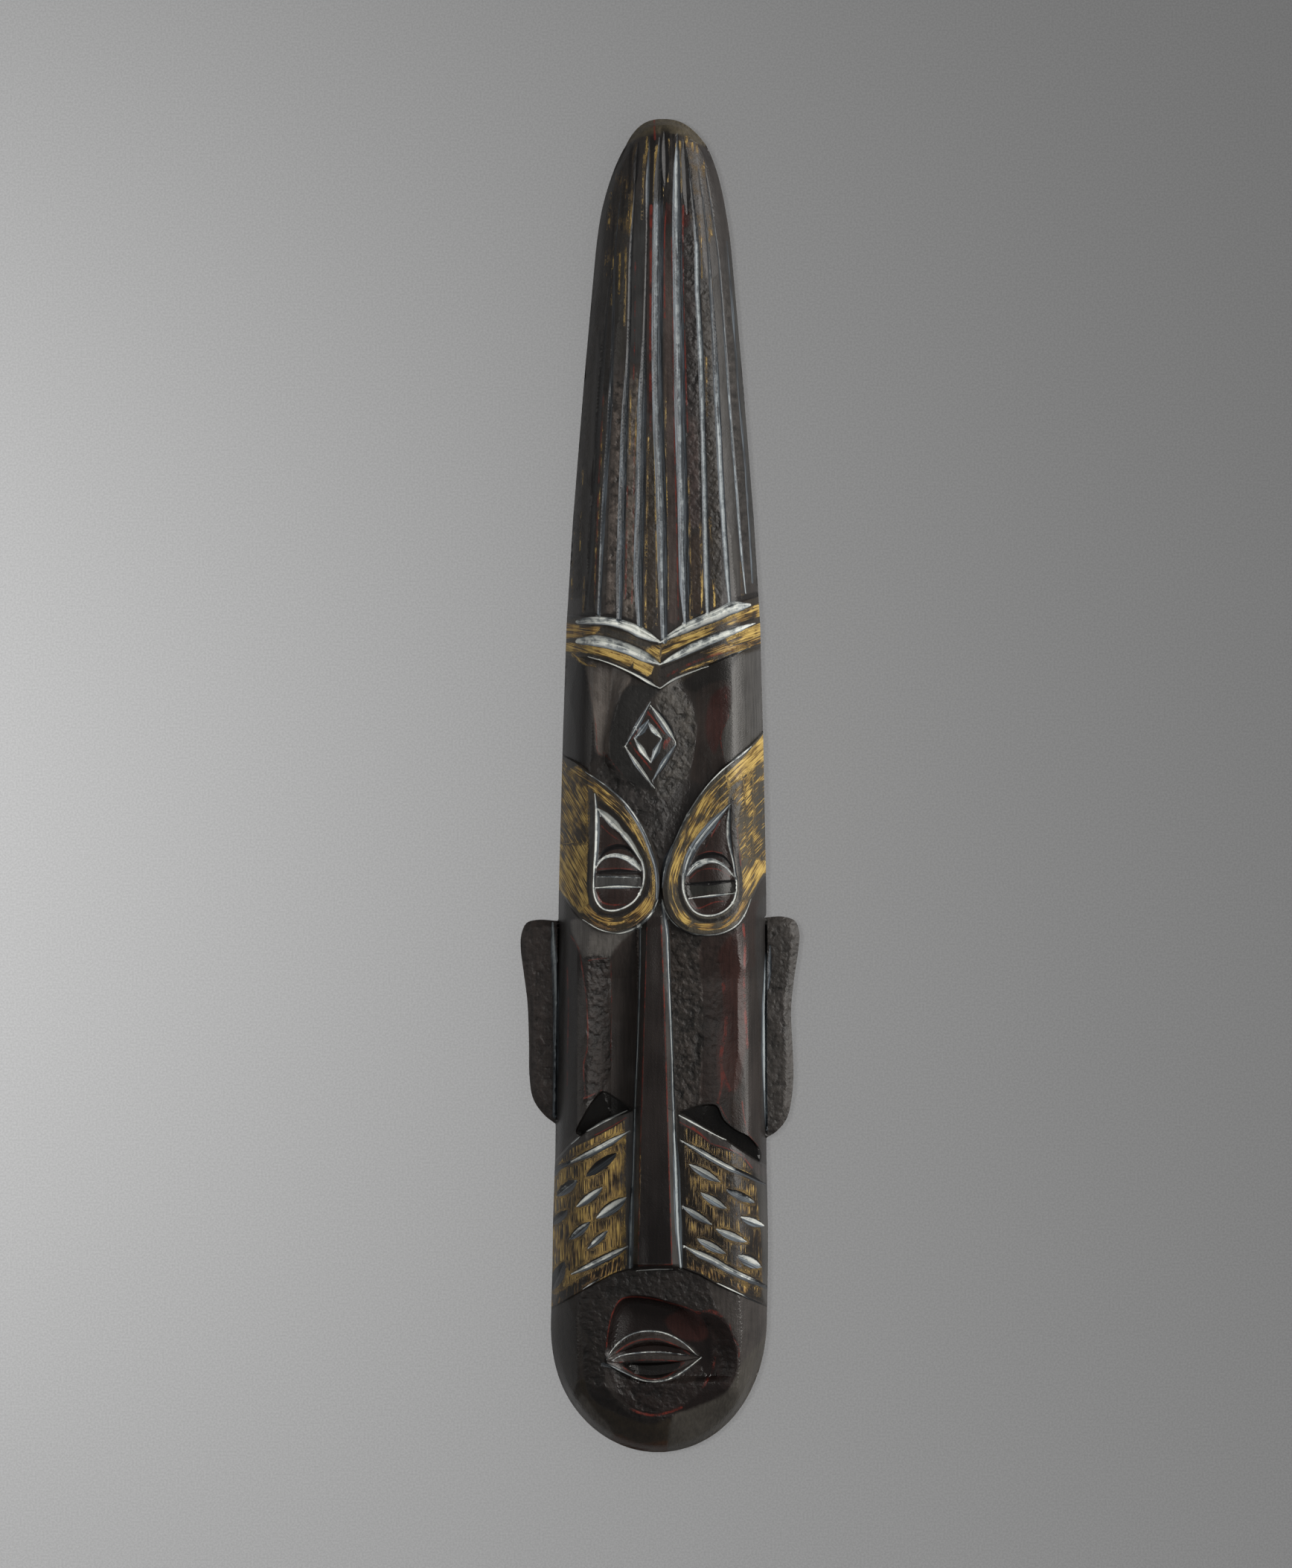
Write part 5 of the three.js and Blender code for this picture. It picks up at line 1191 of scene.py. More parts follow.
     (10, -195.2), (14.6, -197.4)], 0.35, [(0, 0.5), (0.3, 0.8), (1, 0.8)]),
    ("red", [(14.6, -197), (19, -196.4), (23, -198)], 0.8, 0.35),
    ("red", [(26, -201), (27, -206), (29.4, -209.8), (29.4, -214)], 0.35, 0.5),
    ("red", [(-12, -232.6), (-8, -234.6), (-2, -235.6), (4, -234.2), (8, -232.6)], 0.6, 0.6),
    ("red", [(20.4, -214), (19.4, -219), (16, -225)], 0.6, 0.3),
]

# Coloured zones of the block: outline, screen colour, roughness of the surface. Some colours are the wood's
# own;
# others are painted sheen where facets face the light, and painted shade where they face away or lie in
# hollows.
ZONES_WITH_PAINTED_LIGHT = [
    ([(-50, 50), (50, 66), (50, 120), (40, 200), (20, 256), (-18, 256), (-36, 190), (-50, 90)],
     (60, 56, 54), 0.1),
    # Painted shade: the headdress's left side, which faces away from the light.
    ([(-50, 60), (-33, 66), (-30, 130), (-24, 190), (-14, 240), (-22, 256), (-44, 160)], (54, 50, 48), 0.1),
    # Painted sheen: the headdress's right shoulder, which faces the light.
    ([(36, 60), (36.6, 84), (31, 150), (25, 204), (38, 210), (50, 80)], (62, 60, 59), 0.1),
    ([(-16, 240), (-6, 243.5), (6, 244), (18, 240), (16, 256), (-14, 256)], (96, 88, 72), 0.2),
    # Painted shade: the left forehead's outer facets, which face away from the light.
    ([(-27, 45), (-44, 48), (-44, 8), (-31, 8), (-24, 10), (-25, 25)], (38, 35, 34), 0),
    # Painted highlight: the scoop left of the boss, whose wall faces the light.
    ([(-27, 46), (-14, 44), (-11, 40), (-15.5, 33), (-18.4, 24), (-19.4, 12), (-23, 11.6), (-24.6, 24),
     (-26.4, 36)], (112, 104, 98), 0.1),
    # Painted shade: the boss's left side, beside the diamond, which faces away from the light.
    ([(-12, 37), (-16, 30), (-19, 19), (-18.5, 10), (-14.5, 4), (-8, -1), (-2, -1), (-12, 15), (-3.6, 32),
     (0, 36)], (40, 39, 38), 0.15),
    ([(1, 36), (6, 37), (10, 33), (13, 24), (12, 10), (6, -3), (0, -5), (-2, 0), (6.4, 16), (-2, 32)],
     (70, 66, 61), 0.8),
    ([(-22, 8), (-14, 3), (-6, -2), (1, -5), (4, -12), (1, -28), (-3, -22), (-8, -12), (-16, -3), (-24, 3)],
     (52, 48, 46), 0.8),
    # Painted shade: the wall under the headband at the right, which faces down, away from the light.
    ([(4, 39.6), (12, 44), (22, 47.6), (29, 50), (31, 44), (28, 38), (22, 35.4), (12, 35)], (38, 35, 33),
     0),
    ([(14, 35), (26, 39), (27, 30), (24.6, 18), (25, 9), (16, 0), (11, -6), (12, 8), (14, 22)],
     (56, 47, 43), 0.1),
    ([(19.6, 34), (25.6, 37), (25.8, 30), (23, 19), (20, 12), (17, 20)], (66, 38, 34), 0.1),
    # Painted sheen: the right forehead's facets, which face the light, here and in the next zone.
    ([(27, 44), (33, 52), (44, 56), (44, 22), (38, 19), (30, 12), (25, 9), (23.4, 18), (27, 30)],
     (96, 94, 91), 0),
    ([(30, 44), (36, 52), (44, 54), (44, 22), (36, 18), (31, 24)], (100, 98, 96), 0),
    ([(8, 2), (15, 0), (11, -8), (5, -20), (2, -28), (2, -14)], (42, 37, 35), 0.2),
    # Painted highlight: the grey wall under the left eye panel.
    ([(-34, -51), (-28, -50), (-18, -54.7), (-8.6, -53), (-12, -57), (-18, -64), (-28, -64.6), (-31, -60)],
     (122, 118, 114), 0.1),
    ([(-28.8, -65), (-18.4, -64.4), (-18, -84), (-18.4, -106), (-21, -114), (-28.2, -118), (-28.6, -104),
     (-27.2, -98), (-27.6, -80)], (52, 45, 42), 0.9),
    ([(-18.4, -64), (-10.6, -55), (-8.4, -54), (-8.8, -100), (-10, -121), (-16, -118), (-21, -114),
     (-18.4, -106)], (78, 70, 66), 0),
    # Painted shade: the left cheek's outer facet, which faces away from the light.
    ([(-33.6, -55), (-31, -60), (-29, -66), (-27.4, -82), (-28.6, -104), (-28, -118), (-33, -131),
     (-35.4, -132), (-35, -100)], (34, 27, 24), 0.1),
    ([(-35, -48), (-44, -46), (-44, -140), (-38, -136), (-34.4, -124), (-35, -90)], (56, 53, 52), 0.05),
    # Painted shade and black paint: the left gouge, a deep cut facing away from the light.
    (GOUGE_LEFT, (26, 23, 21), 0),
    ([(4.2, -55), (11, -55.6), (17, -57), (16, -80), (16.6, -112), (15, -119), (6.4, -122.4), (5.2, -110)],
     (60, 54, 50), 0.9),
    ([(16, -56.6), (24, -55), (31, -51), (31.6, -80), (31.6, -98), (30, -112), (22.4, -119.4), (16, -119.4),
     (16.6, -90)], (66, 54, 50), 0.25),
    ([(22, -62), (30, -54), (31.4, -80), (32, -98), (28, -114), (22.6, -112), (21.4, -96), (24, -78)],
     (76, 50, 45), 0.1),
    ([(30.6, -50), (35, -43), (37, -43), (37, -72), (34, -74), (32.6, -98), (30, -112), (33, -131),
     (38.6, -140), (34, -132), (31.4, -124), (29.4, -112), (32, -98), (31.6, -80)], (60, 49, 45), 0.05),
    ([(33.6, -70), (38, -66), (38, -96), (38.6, -131), (38.6, -140), (34.6, -131), (31.6, -116), (33, -98)],
     (54, 48, 45), 0),
    ([(37.4, -43), (44, -40), (44, -134), (39.4, -131), (38, -118), (37.8, -96)], (64, 62, 61), 0.05),
    # Painted shade and black paint: the right gouge, a deep cut facing away from the light.
    (GOUGE_RIGHT, (23, 20, 19), 0),
    ([(22, -119.6), (24.6, -124), (30, -129), (34, -131), (31, -122), (26, -117)], (56, 46, 42), 0),
    ([(-26, -186), (-18, -182.4), (-9, -181.2), (8, -180.6), (18, -184), (27, -189), (22, -196), (10, -195),
     (-5, -190.8), (-14, -191.4), (-18.6, -200), (-20.6, -213), (-27, -206), (-32, -196)], (33, 27, 24),
     0.55),
    # Painted sheen: the right side of the mouth, which faces the light.
    ([(18, -184.4), (28, -189.4), (44, -196), (42, -214), (31.4, -222), (29.5, -210), (27, -204),
     (22, -197)], (74, 69, 66), 0.1),
    ([(-44, -196), (-32, -191), (-30, -204), (-29, -222), (-34, -230), (-44, -214)], (54, 48, 44), 0.1),
    ([(-28, -208), (-20.8, -216), (-20, -225), (-14, -231.4), (-5, -235.4), (5, -235), (16, -231),
     (10, -238), (-5, -240), (-18, -236), (-27, -226)], (26, 20, 17), 0.5),
    ([(-36, -228), (-29, -222), (-26, -229), (-14, -236), (-3, -239), (4, -237), (5, -254), (-24, -250)],
     (56, 48, 38), 0.1),
    ([(-29.4, -228), (-24, -234.6), (-19, -240), (-16.6, -247), (-24, -246), (-32, -236)], (96, 90, 84), 0),
    ([(-17, -243), (-8, -246.4), (4.4, -246), (4.4, -254), (-20, -252)], (74, 50, 34), 0.05),
    # Painted sheen: the right of the chin, which faces the light.
    ([(5, -236), (10, -232.6), (24, -228), (30, -217), (44, -204), (40, -230), (26, -246), (4.4, -254)],
     (82, 78, 72), 0.05),
    (MOUTH_HOLLOW, (28, 19, 17), 0),
    ([(2, -200), (9, -196), (15.6, -198.6), (18, -206), (14, -208), (6, -206)], (60, 32, 28), 0),
    ([(15.4, -197.6), (22, -197.6), (26, -202), (28.8, -211), (28.2, -221), (24, -226), (20, -216),
     (19, -206)], (42, 29, 26), 0.4),
    ([(-18, -219), (-8, -223.6), (4, -223), (14, -217), (17, -223), (10, -231), (-3, -234.6), (-13, -230)],
     (36, 26, 23), 0.5),
    ([(-20, -215), (-13, -206.6), (-3, -204), (6, -206.6), (14.6, -214), (5, -222), (-3, -223),
     (-12, -221)], (74, 68, 65), 0.1),
    ([(-15.6, -212.6), (-9, -208.4), (-3, -207), (4, -209), (10, -213), (-3, -212)], (36, 24, 21), 0),
    ([(-15, -216), (-3, -215), (8.6, -216), (2, -221), (-3, -221.8), (-9, -220.4)], (22, 18, 17), 0),
    (EYE_LEFT, (60, 52, 40), 0.15), (EYE_RIGHT, (90, 85, 74), 0.15),
    ([(38.4, 3), (38.6, -31), (46, -31), (46, 8)], (76, 74, 68), 0.1), (TEAR_LEFT, (58, 44, 40), 0.1),
    (TEAR_RIGHT, (56, 42, 38), 0.1),
    ([(-24, -33.6), (-15.6, -33.4), (-7.4, -33.8), (-7.4, -37.4), (-15.6, -37.2), (-24, -37.6)],
     (78, 78, 77), 0),
    ([(10, -37.2), (18, -37), (27.6, -36), (27.8, -39.6), (18, -40.4), (10, -41.4)], (58, 58, 55), 0),
    (PANEL_LEFT, (32, 27, 22), 0.1), (PANEL_RIGHT, (34, 29, 24), 0.1),
    # Painted sheen: the left cheek panel's top bevel, which faces up towards the light.
    ([(-12, -122.3), (-20, -125.4), (-27, -129.4), (-33, -134.4), (-39, -141), (-46, -149), (-40, -143.6),
     (-33, -135.6), (-24.6, -130.8), (-18, -127.4), (-12.4, -124)], (72, 68, 65), 0),
    # Painted sheen: the right cheek panel's top bevel, which faces up towards the light.
    ([(7.6, -123), (15, -127), (23, -131.5), (30, -136.5), (38, -142), (46, -148), (40, -148.6),
     (34.6, -144), (30, -138), (24, -135.4), (19, -133.8), (14, -129.8), (7.4, -125.8)], (82, 77, 75), 0),
    # Painted sheen: the right cheek panel's outer facet, which faces the light.
    ([(36, -146), (46, -152), (46, -199), (39.4, -194), (38, -170), (36.4, -156)], (78, 76, 73), 0),
    ([(-46, -150), (-39, -144), (-38.6, -165), (-39.6, -194), (-46, -198)], (70, 66, 60), 0.1),
    ([(-12.9, -123), (-10, -122), (-11, -180), (-12.7, -180)], (84, 82, 81), 0),
    # Painted sheen: the grey slope right of the nose, which faces the light.
    ([(3, -110), (4.8, -112), (6.2, -140), (7.2, -179), (4.6, -178.6), (3.6, -150)], (84, 82, 80), 0),
    ([(-40, 63), (-31, 63), (-12, 60), (0, 53.6), (15, 61.5), (41, 72), (41, 54), (20, 46), (0, 36.3),
     (-18, 45.2), (-40, 50)], (62, 55, 46), 0.1),
    ([(-24, 59), (-14, 57), (-4, 52.6), (-1, 48), (-6, 51), (-14, 54.4), (-24, 56.4)], (72, 69, 64), 0.2),
    ([(0, 44.6), (8, 46.8), (16, 50), (15, 46), (6, 41.4), (0, 37)], (58, 53, 50), 0.1),
]

# Ribs of the headdress: middle line, half width, screen colour, roughness. The grey of the ribs on the right
# side is painted sheen where they face the light.
RIBS = [
    ([(-31.4, 72), (-29.4, 110), (-27.4, 150), (-23, 196)], 2, (50, 45, 42), 0.5),
    ([(-25.2, 66), (-23.4, 110), (-21.6, 140), (-20.2, 170), (-18, 205)], 1.5, (54, 49, 45), 0.3),
    ([(-18.8, 66), (-17.4, 110), (-16.1, 140), (-15.2, 160)], 1.7, (95, 86, 80), 0.75),
    ([(-15, 160), (-14.4, 190), (-12, 225)], 1.5, (58, 55, 51), 0.15),
    ([(-11.8, 64), (-10.8, 110), (-10, 140), (-9.4, 160)], 1.7, (104, 95, 87), 0.7),
    ([(-9.2, 160), (-8.2, 195), (-6.4, 224)], 2.1, (66, 66, 66), 0.05),
    ([(-3.8, 60), (-3.6, 110), (-3.7, 140)], 1.4, (60, 52, 44), 0.4),
    ([(-3.6, 140), (-3.4, 170), (-3.2, 214)], 0.9, (62, 42, 38), 0.1),
    ([(4.8, 62), (4.3, 110), (3.3, 150), (3, 180), (2.8, 210)], 1.5, (84, 73, 69), 0.15),
    ([(13.6, 66), (13, 96)], 1.7, (66, 54, 46), 0.3), ([(12.8, 98), (12, 140)], 1.9, (72, 60, 57), 0.7),
    ([(12, 140), (11.4, 168), (10.6, 198), (9.8, 214)], 1.9, (48, 42, 41), 0.7),
    ([(21.4, 68), (20, 110), (18.5, 142), (17.6, 165), (16.6, 195)], 1.6, (56, 51, 46), 0.65),
    # Painted sheen: a grey rib on the right, which faces the light.
    ([(28.2, 72), (26, 110), (23.9, 142), (22.4, 168), (20, 204)], 1.4, (74, 72, 70), 0.1),
    ([(33.3, 76), (31, 110), (28.3, 142), (26.4, 168), (23.6, 200)], 1.1, (64, 60, 57), 0.7),
    # Painted sheen: a grey rib on the right, which faces the light.
    ([(36, 78), (33.8, 110), (31.2, 142), (29.2, 170), (26.6, 204)], 0.9, (70, 69, 67), 0.05),
    ([(-3.6, 217), (-3, 232), (-2.6, 246)], 1.1, (34, 30, 28), 0.1),
    ([(2.4, 217), (2.6, 232), (2, 248)], 1.5, (34, 30, 28), 0.1),
    ([(9.8, 213), (9.8, 228), (8, 241)], 1.6, (36, 32, 30), 0.1),
    ([(9.4, 210), (9.6, 217)], 1.2, (72, 34, 30), 0.1), ([(3, 211), (3.2, 218)], 1, (60, 32, 28), 0.1),
    ([(-3.2, 210), (-3.2, 217)], 0.9, (70, 34, 30), 0.1),
]

# Gold: outline, share covered, way of the brush in degrees, length and width of its strokes, shade.
RING_LEFT = [(-34, 9), (-20, -1), (-10, -10.5), (-3, -23), (-0.4, -36), (-3, -46), (-10, -52.5), (-18, -54.7),
             (-28, -51), (-35, -42)]
RING_RIGHT = [(38, 19), (27, 9), (16.5, -1.3), (10, -12), (5, -22.5), (1.2, -33), (0.9, -38), (1.6, -43),
              (7, -52.5), (16, -55.6), (25, -54.3), (31.5, -48), (38, -35)]
GOLD = [
    # Left eye panel: the temple, the ring above and beside the teardrop, and under it.
    ([(-46, 13), (-36.5, 9.8), (-31, 3), (-27, -1), (-26.6, -10), (-26.8, -22), (-37, -22), (-46, -20)],
     0.5, -60, (7, 0.9), 0),
    ([(-46, -20), (-37, -22), (-26.8, -22), (-27.4, -36), (-26.6, -44), (-30, -47.5), (-35, -42),
     (-46, -31)], 0.72, -62, (8, 1), 0),
    ([(-35, 6), (-30.6, 7.6), (-27.5, 4), (-20, -2.2), (-15, -6.4), (-10.6, -11.6), (-7, -17.6),
     (-4.6, -23), (-2.4, -31), (-1.8, -36), (-2, -43), (-4.4, -42), (-4, -34), (-5.4, -27), (-9, -19.6),
     (-15, -11.4), (-22, -5), (-27.6, 0.6)], 0.62, RING_LEFT, (8, 1.3), 0),
    ([(-2, -42), (-3, -46), (-8, -50.4), (-14, -52.4), (-20, -52.6), (-26, -50), (-29.6, -46.6),
     (-26.6, -44), (-23.4, -48.2), (-16, -49), (-9.4, -46.4), (-5.6, -41.6)], 0.58, RING_LEFT, (9, 1.1),
     0.3),
    ([(-2.6, -46.5), (-10, -52.8), (-18, -54.6), (-26, -52), (-29, -49), (-20, -52.4), (-9, -50.6)], 0.45,
     RING_LEFT, (9, 0.9), 1),
    # Right eye panel.
    ([(38.4, 19), (30.4, 9.6), (24, 3.6), (25.6, -1), (29, 1.6), (33, 5), (38, 8.6), (46, 14), (46, 26)],
     0.85, 42, (9, 1.6), 0),
    ([(24, 4), (17.4, -2.4), (13.6, -7.6), (10.4, -13), (7.4, -18.8), (5.4, -25), (3.4, -33), (3.2, -38),
     (3.6, -44), (6.4, -50), (10.4, -52.8), (11.8, -50.4), (8, -46), (6.6, -40), (6.8, -33), (9.2, -26),
     (14, -19), (19.4, -12.6), (25.2, -6.8), (26, -1)], 0.6, RING_RIGHT, (9, 1.4), 0),
    ([(10.2, -52.8), (16, -54.4), (24, -53.2), (29, -50), (31.4, -46), (34, -41), (30, -43.4),
     (26.6, -48.6), (20, -51), (14, -50.6)], 0.52, RING_RIGHT, (9, 1), 0.5),
    ([(26, -1), (29, 1.6), (33, 5), (38, 8.4), (46, 14), (46, -27), (38.6, -28), (30.4, -27), (28.4, -16),
     (27.4, -7)], 0.4, 47, (6, 0.9), 0),
    ([(31.2, 4), (34.2, 4), (34.6, -10), (34.2, -26), (32.6, -26), (32.4, -10)], 0.5, 50, (6, 1.1), 0),
    ([(30.4, -27), (38.6, -28), (46, -28), (46, -31), (38.5, -33), (34, -41), (30.6, -43)], 0.62, 60,
     (8, 1.1), 0),
    # Headband.
    ([(0.5, 52.8), (8, 57.4), (16, 60.2), (24, 63.2), (30, 65), (41, 70), (41, 64.5), (34, 62.4),
     (24, 58.8), (12, 54), (0.5, 48.4)], 0.68, 22, (9, 1.7), 0),
    ([(0, 52.4), (-3, 52.4), (-6, 50), (-2, 47), (0, 46)], 0.7, -30, (7, 1.4), 0),
    ([(-41, 63), (-30, 59.8), (-22, 59.4), (-24, 56.6), (-30, 55.4), (-41, 55)], 0.78, -8, (7, 1.2), 0.4),
    ([(-22, 59.4), (-12, 57), (-5, 53.4), (-5, 50.6), (-14, 54.4), (-24, 56.6)], 0.16, -22, (7, 1.2), 0),
    ([(-41, 54.6), (-30, 53), (-20, 51.2), (-12, 48.6), (-9, 47), (-12, 43.8), (-20, 47.6), (-30, 50),
     (-41, 50.4)], 0.74, -18, (9, 1.4), 0.1),
    ([(-10, 47.4), (-6, 46.2), (-2.4, 44.4), (-3.4, 41.6), (-5, 40.6), (-10, 43.6)], 0.85, -30, (8, 1.6),
     0),
    ([(24, 55.6), (34, 59.4), (41, 62.6), (41, 57.6), (34, 54.6), (26, 52)], 0.8, 20, (9, 1.6), 0),
    ([(15, 49.6), (24, 53), (28, 52.4), (41, 57), (41, 54), (30, 51), (20, 48.4)], 0.5, 20, (9, 0.9), 0.5),
    # Cheek panels.
    ([(-13.2, -125), (-18, -128), (-24.4, -131.4), (-33, -135.6), (-41, -145), (-46, -151), (-46, -199),
     (-40, -195), (-33, -190.6), (-25, -186), (-18, -182.4), (-13.2, -180.4)], 0.54, 90, (7, 0.55), 0.1),
    ([(9, -127.4), (14, -130.4), (19, -134.4), (24, -136), (30, -138.6), (34, -143.6), (36, -150),
     (37.6, -168), (38.6, -192), (30, -189.4), (22, -186), (15, -182), (10, -180)], 0.3, 90, (7, 0.6), 0.1),
    ([(-13.6, -175), (-20, -178.6), (-28, -183), (-34, -187), (-41, -191), (-41, -195.6), (-32, -190.2),
     (-25, -186), (-18, -182.4), (-13.6, -180.4)], 0.3, 82, (4, 0.7), 0.7),
    ([(10.4, -176), (17, -179.6), (24, -183), (31, -187), (37, -190.6), (30, -189.4), (22, -186),
     (15, -182), (11, -180.4)], 0.3, 100, (4, 0.7), 0.7),
    # Top of the headdress.
    ([(-20, 196), (-16, 238), (-9, 243), (-8, 236), (-13, 200)], 0.16, 86, (12, 0.8), 0.2),
    ([(10.4, 220), (9, 241), (15, 241), (19, 222), (19, 200), (13, 200)], 0.18, 94, (12, 0.9), 0.2),
]



def features():
    """Everything carved or painted on the front, in order."""
    found = [Block()]
    found += [Hollow(depth=BROW_DROP, **BROW_LEFT), Hollow(depth=BROW_DROP, **BROW_RIGHT)]
    found += [Cheek(CHEEK_LEFT), Cheek(CHEEK_RIGHT)]
    found += [Gouge(GOUGE_LEFT), Gouge(GOUGE_RIGHT)]
    band = np.vstack([smooth(CHEVRON_TOP[:6]), smooth(CHEVRON_TOP[5:])[1:], smooth(CHEVRON_FOOT[5:])[::-1],
                      smooth(CHEVRON_FOOT[:6])[::-1][1:]])
    found.append(Raised(np.vstack([band, band[:1]]), BAND_RISE))
    found += [Raised(smooth(line, closed=True), EYE_RISE) for line in (EYE_LEFT, EYE_RIGHT)]
    found += [Raised(straight(line, closed=True), CHEEK_PANEL_RISE) for line in (PANEL_LEFT, PANEL_RIGHT)]
    found += [Mouth(), Nose(), Eye(TEAR_LEFT, BALL_LEFT), Eye(TEAR_RIGHT, BALL_RIGHT)]
    found += [ColourAndLightZone(points, colour, rough) for points, colour, rough in ZONES_WITH_PAINTED_LIGHT]
    found.append(EarAndNoseColoursAndLight())
    found += [Rib(smooth(points), half, colour, rough) for points, half, colour, rough in RIBS]
    for points, cover, way, grain, shade in GOLD:
        found.append(Gilding(points, cover, smooth(way) if isinstance(way, list) else way, grain, shade))
    found += [Stroke(kind, smooth(points), half, amount) for kind, points, half, amount in STROKES]
    for look, points, half, white in FLUTES:
        found.append(Cut(look, smooth(points), half, white, FLUTE_STEEP, rounded=True))
    for look, points, half, white, steep in CUTS:
        found.append(Cut(look, smooth(points), half, white, steep))
    for start, end, half, white in LEAVES:
        line, wide = lens(start, end, half)
        found.append(Cut("cut", line, wide, white, LEAF_STEEP))
    return found


# The closed mesh, from the front's points round by the sides to the back.
def pitted(front):
    """Small chips and dents of the tool in the rough areas, with their relief kept to paint light on the tops
    and shade in the dents.
    """
    chips = 0
    for size, angle, weight, seed in CHIPS:
        warp = CHIP_WARP * waves(front.x / CHIP_WARP_SIZE, front.y / CHIP_WARP_SIZE, seed + 1)
        u = front.x * np.cos(angle) + front.y * np.sin(angle)
        v = front.y * np.cos(angle) - front.x * np.sin(angle)
        chips = chips + weight * waves(u / size + warp, v / size * CHIP_STRETCH - warp, seed)
    dents = np.clip(waves(front.x / DENT_SIZE, front.y / DENT_SIZE, DENT_SEED) - DENT_LIMIT, 0, 1)
    front.relief = (chips - DENT_DEPTH * dents) * front.rough
    front.z += CHIP_HEIGHT * front.relief


def rim_loop(faces):
    """The numbers of the points round the rim of some triangles, in order."""
    ahead = {(start, end) for a, b, c in faces for start, end in ((a, b), (b, c), (c, a))}
    after = {start: end for start, end in ahead if (end, start) not in ahead}
    first = min(after)
    loop = [first]
    while after[loop[-1]] != first:
        loop.append(after[loop[-1]])
    return loop


def walls(front, rim):
    """The points of the side walls, row by row down from the rim, hollowed a little by the knife."""
    ring = np.stack([front.x[rim], front.y[rim]], 1)
    outward = -normals(np.vstack([ring, ring[:1]]))[:-1]
    around, down = WALL_WAVES
    rows = []
    for row in range(1, WALL_ROWS + 1):
        share = row / WALL_ROWS
        wave = waves(shares(ring) * around, np.full(len(ring), share * down), WALL_SEED)
        bump = -WALL_HOLLOW * (1 + wave) * np.sin(np.pi * share)
        rows.append(np.column_stack([ring + outward * bump[:, None], front.z[rim] * (1 - share)]))
    return rows


def strip(upper, lower):
    """Triangles between two rows of points round the block, from their numbers."""
    up, down = np.roll(upper, -1), np.roll(lower, -1)
    return [(a, c, b) for a, b, c in zip(upper, up, lower)] + [(b, c, d) for b, c, d in zip(up, lower, down)]


def trough(y):
    """Half width and depth of the back's trough at places along Y."""
    return read([row[:2] for row in TROUGH], y), read([row[::2] for row in TROUGH], y)


def back_plan():
    """The lines that the back's triangles follow: the middle of the trough and its edges."""
    plan = Plan()
    plan.follow(straight([(read(MIDDLE, y), y) for y in TROUGH_MIDDLE], BACK_STEP), False)
    y = np.arange(TROUGH[0][0], TROUGH[-1][0], BACK_STEP)
    half = trough(y)[0]
    for share, _ in TROUGH_SECTION[1:]:
        for sign in (-1, 1):
            plan.follow(np.stack([read(MIDDLE, y) + sign * share * half, y], 1))
    return plan


def back_height(x, y):
    """How far places on the back stand over the floor, with the gouge's marks in the trough."""
    half, deep = trough(y)
    across = np.abs(x - read(MIDDLE, y)) / half
    height = deep * read(TROUGH_SECTION, np.minimum(across, 1))
    height[(y < TROUGH[0][0]) | (y > TROUGH[-1][0])] = 0
    wide, long = TROUGH_WAVE_SIZE
    return height + TROUGH_WAVE * fade(height, *TROUGH_WAVE_FADE) * waves(x / wide, y / long, TROUGH_SEED)


def closed_mesh(front, faces):
    """The front with its side walls and back: points and triangles."""
    rim = rim_loop(faces)
    points = [np.stack([front.x, front.y, front.z], 1), *walls(front, rim)]
    around = np.arange(len(rim))
    rows = [np.array(rim)] + [len(front.x) + row * len(rim) + around for row in range(WALL_ROWS)]
    for upper, lower in zip(rows, rows[1:]):
        faces = faces + strip(upper, lower)
    foot = points[-1][:, :2]
    places, back, _ = back_plan().triangles(np.vstack([foot, foot[:1]]), BACK_STEP)
    tree = kdtree.KDTree(len(foot))
    for i, (x, y) in enumerate(foot):
        tree.insert((x, y, 0), i)
    tree.balance()
    first = rows[-1][-1] + 1
    number = np.zeros(len(places), int)
    added = []
    for i, (x, y) in enumerate(places):
        _, mate, gap = tree.find((x, y, 0))
        if gap < SAME_POINT:
            number[i] = rows[-1][mate]
        else:
            number[i] = first + len(added)
            added.append(i)
    x, y = places[added].T
    points.append(np.column_stack([x, y, back_height(x, y)]))
    return np.vstack(points), faces + [(number[a], number[c], number[b]) for a, b, c in back]


def store(mesh, name, kind, values, behind):
    """One value for each point of the front, and one for all points of the sides and the back."""
    values = np.asarray(values, float).reshape(len(values), -1)
    rest = len(mesh.vertices) - len(values)
    values = np.vstack([values, np.broadcast_to(np.asarray(behind, float), (rest, values.shape[1]))])
    if kind == "FLOAT_COLOR":
        values = np.column_stack([values, np.ones(len(values))])
    layer = mesh.attributes.new(name, kind, "POINT")
    layer.data.foreach_set({"FLOAT": "value", "FLOAT_VECTOR": "vector", "FLOAT_COLOR": "color"}[kind],
                           values.ravel())


def mark_sharp(mesh, sharp):
    """Mark some edges, given by the numbers of their ends, as sharp."""
    keys = {tuple(sorted(edge)) for edge in sharp}
    ends = np.zeros(2 * len(mesh.edges), int)
    mesh.edges.foreach_get("vertices", ends)
    hard = np.array([tuple(sorted(edge)) in keys for edge in ends.reshape(-1, 2).tolist()])
    layer = mesh.attributes.new("sharp_edge", "BOOLEAN", "EDGE")
    layer.data.foreach_set("value", hard)


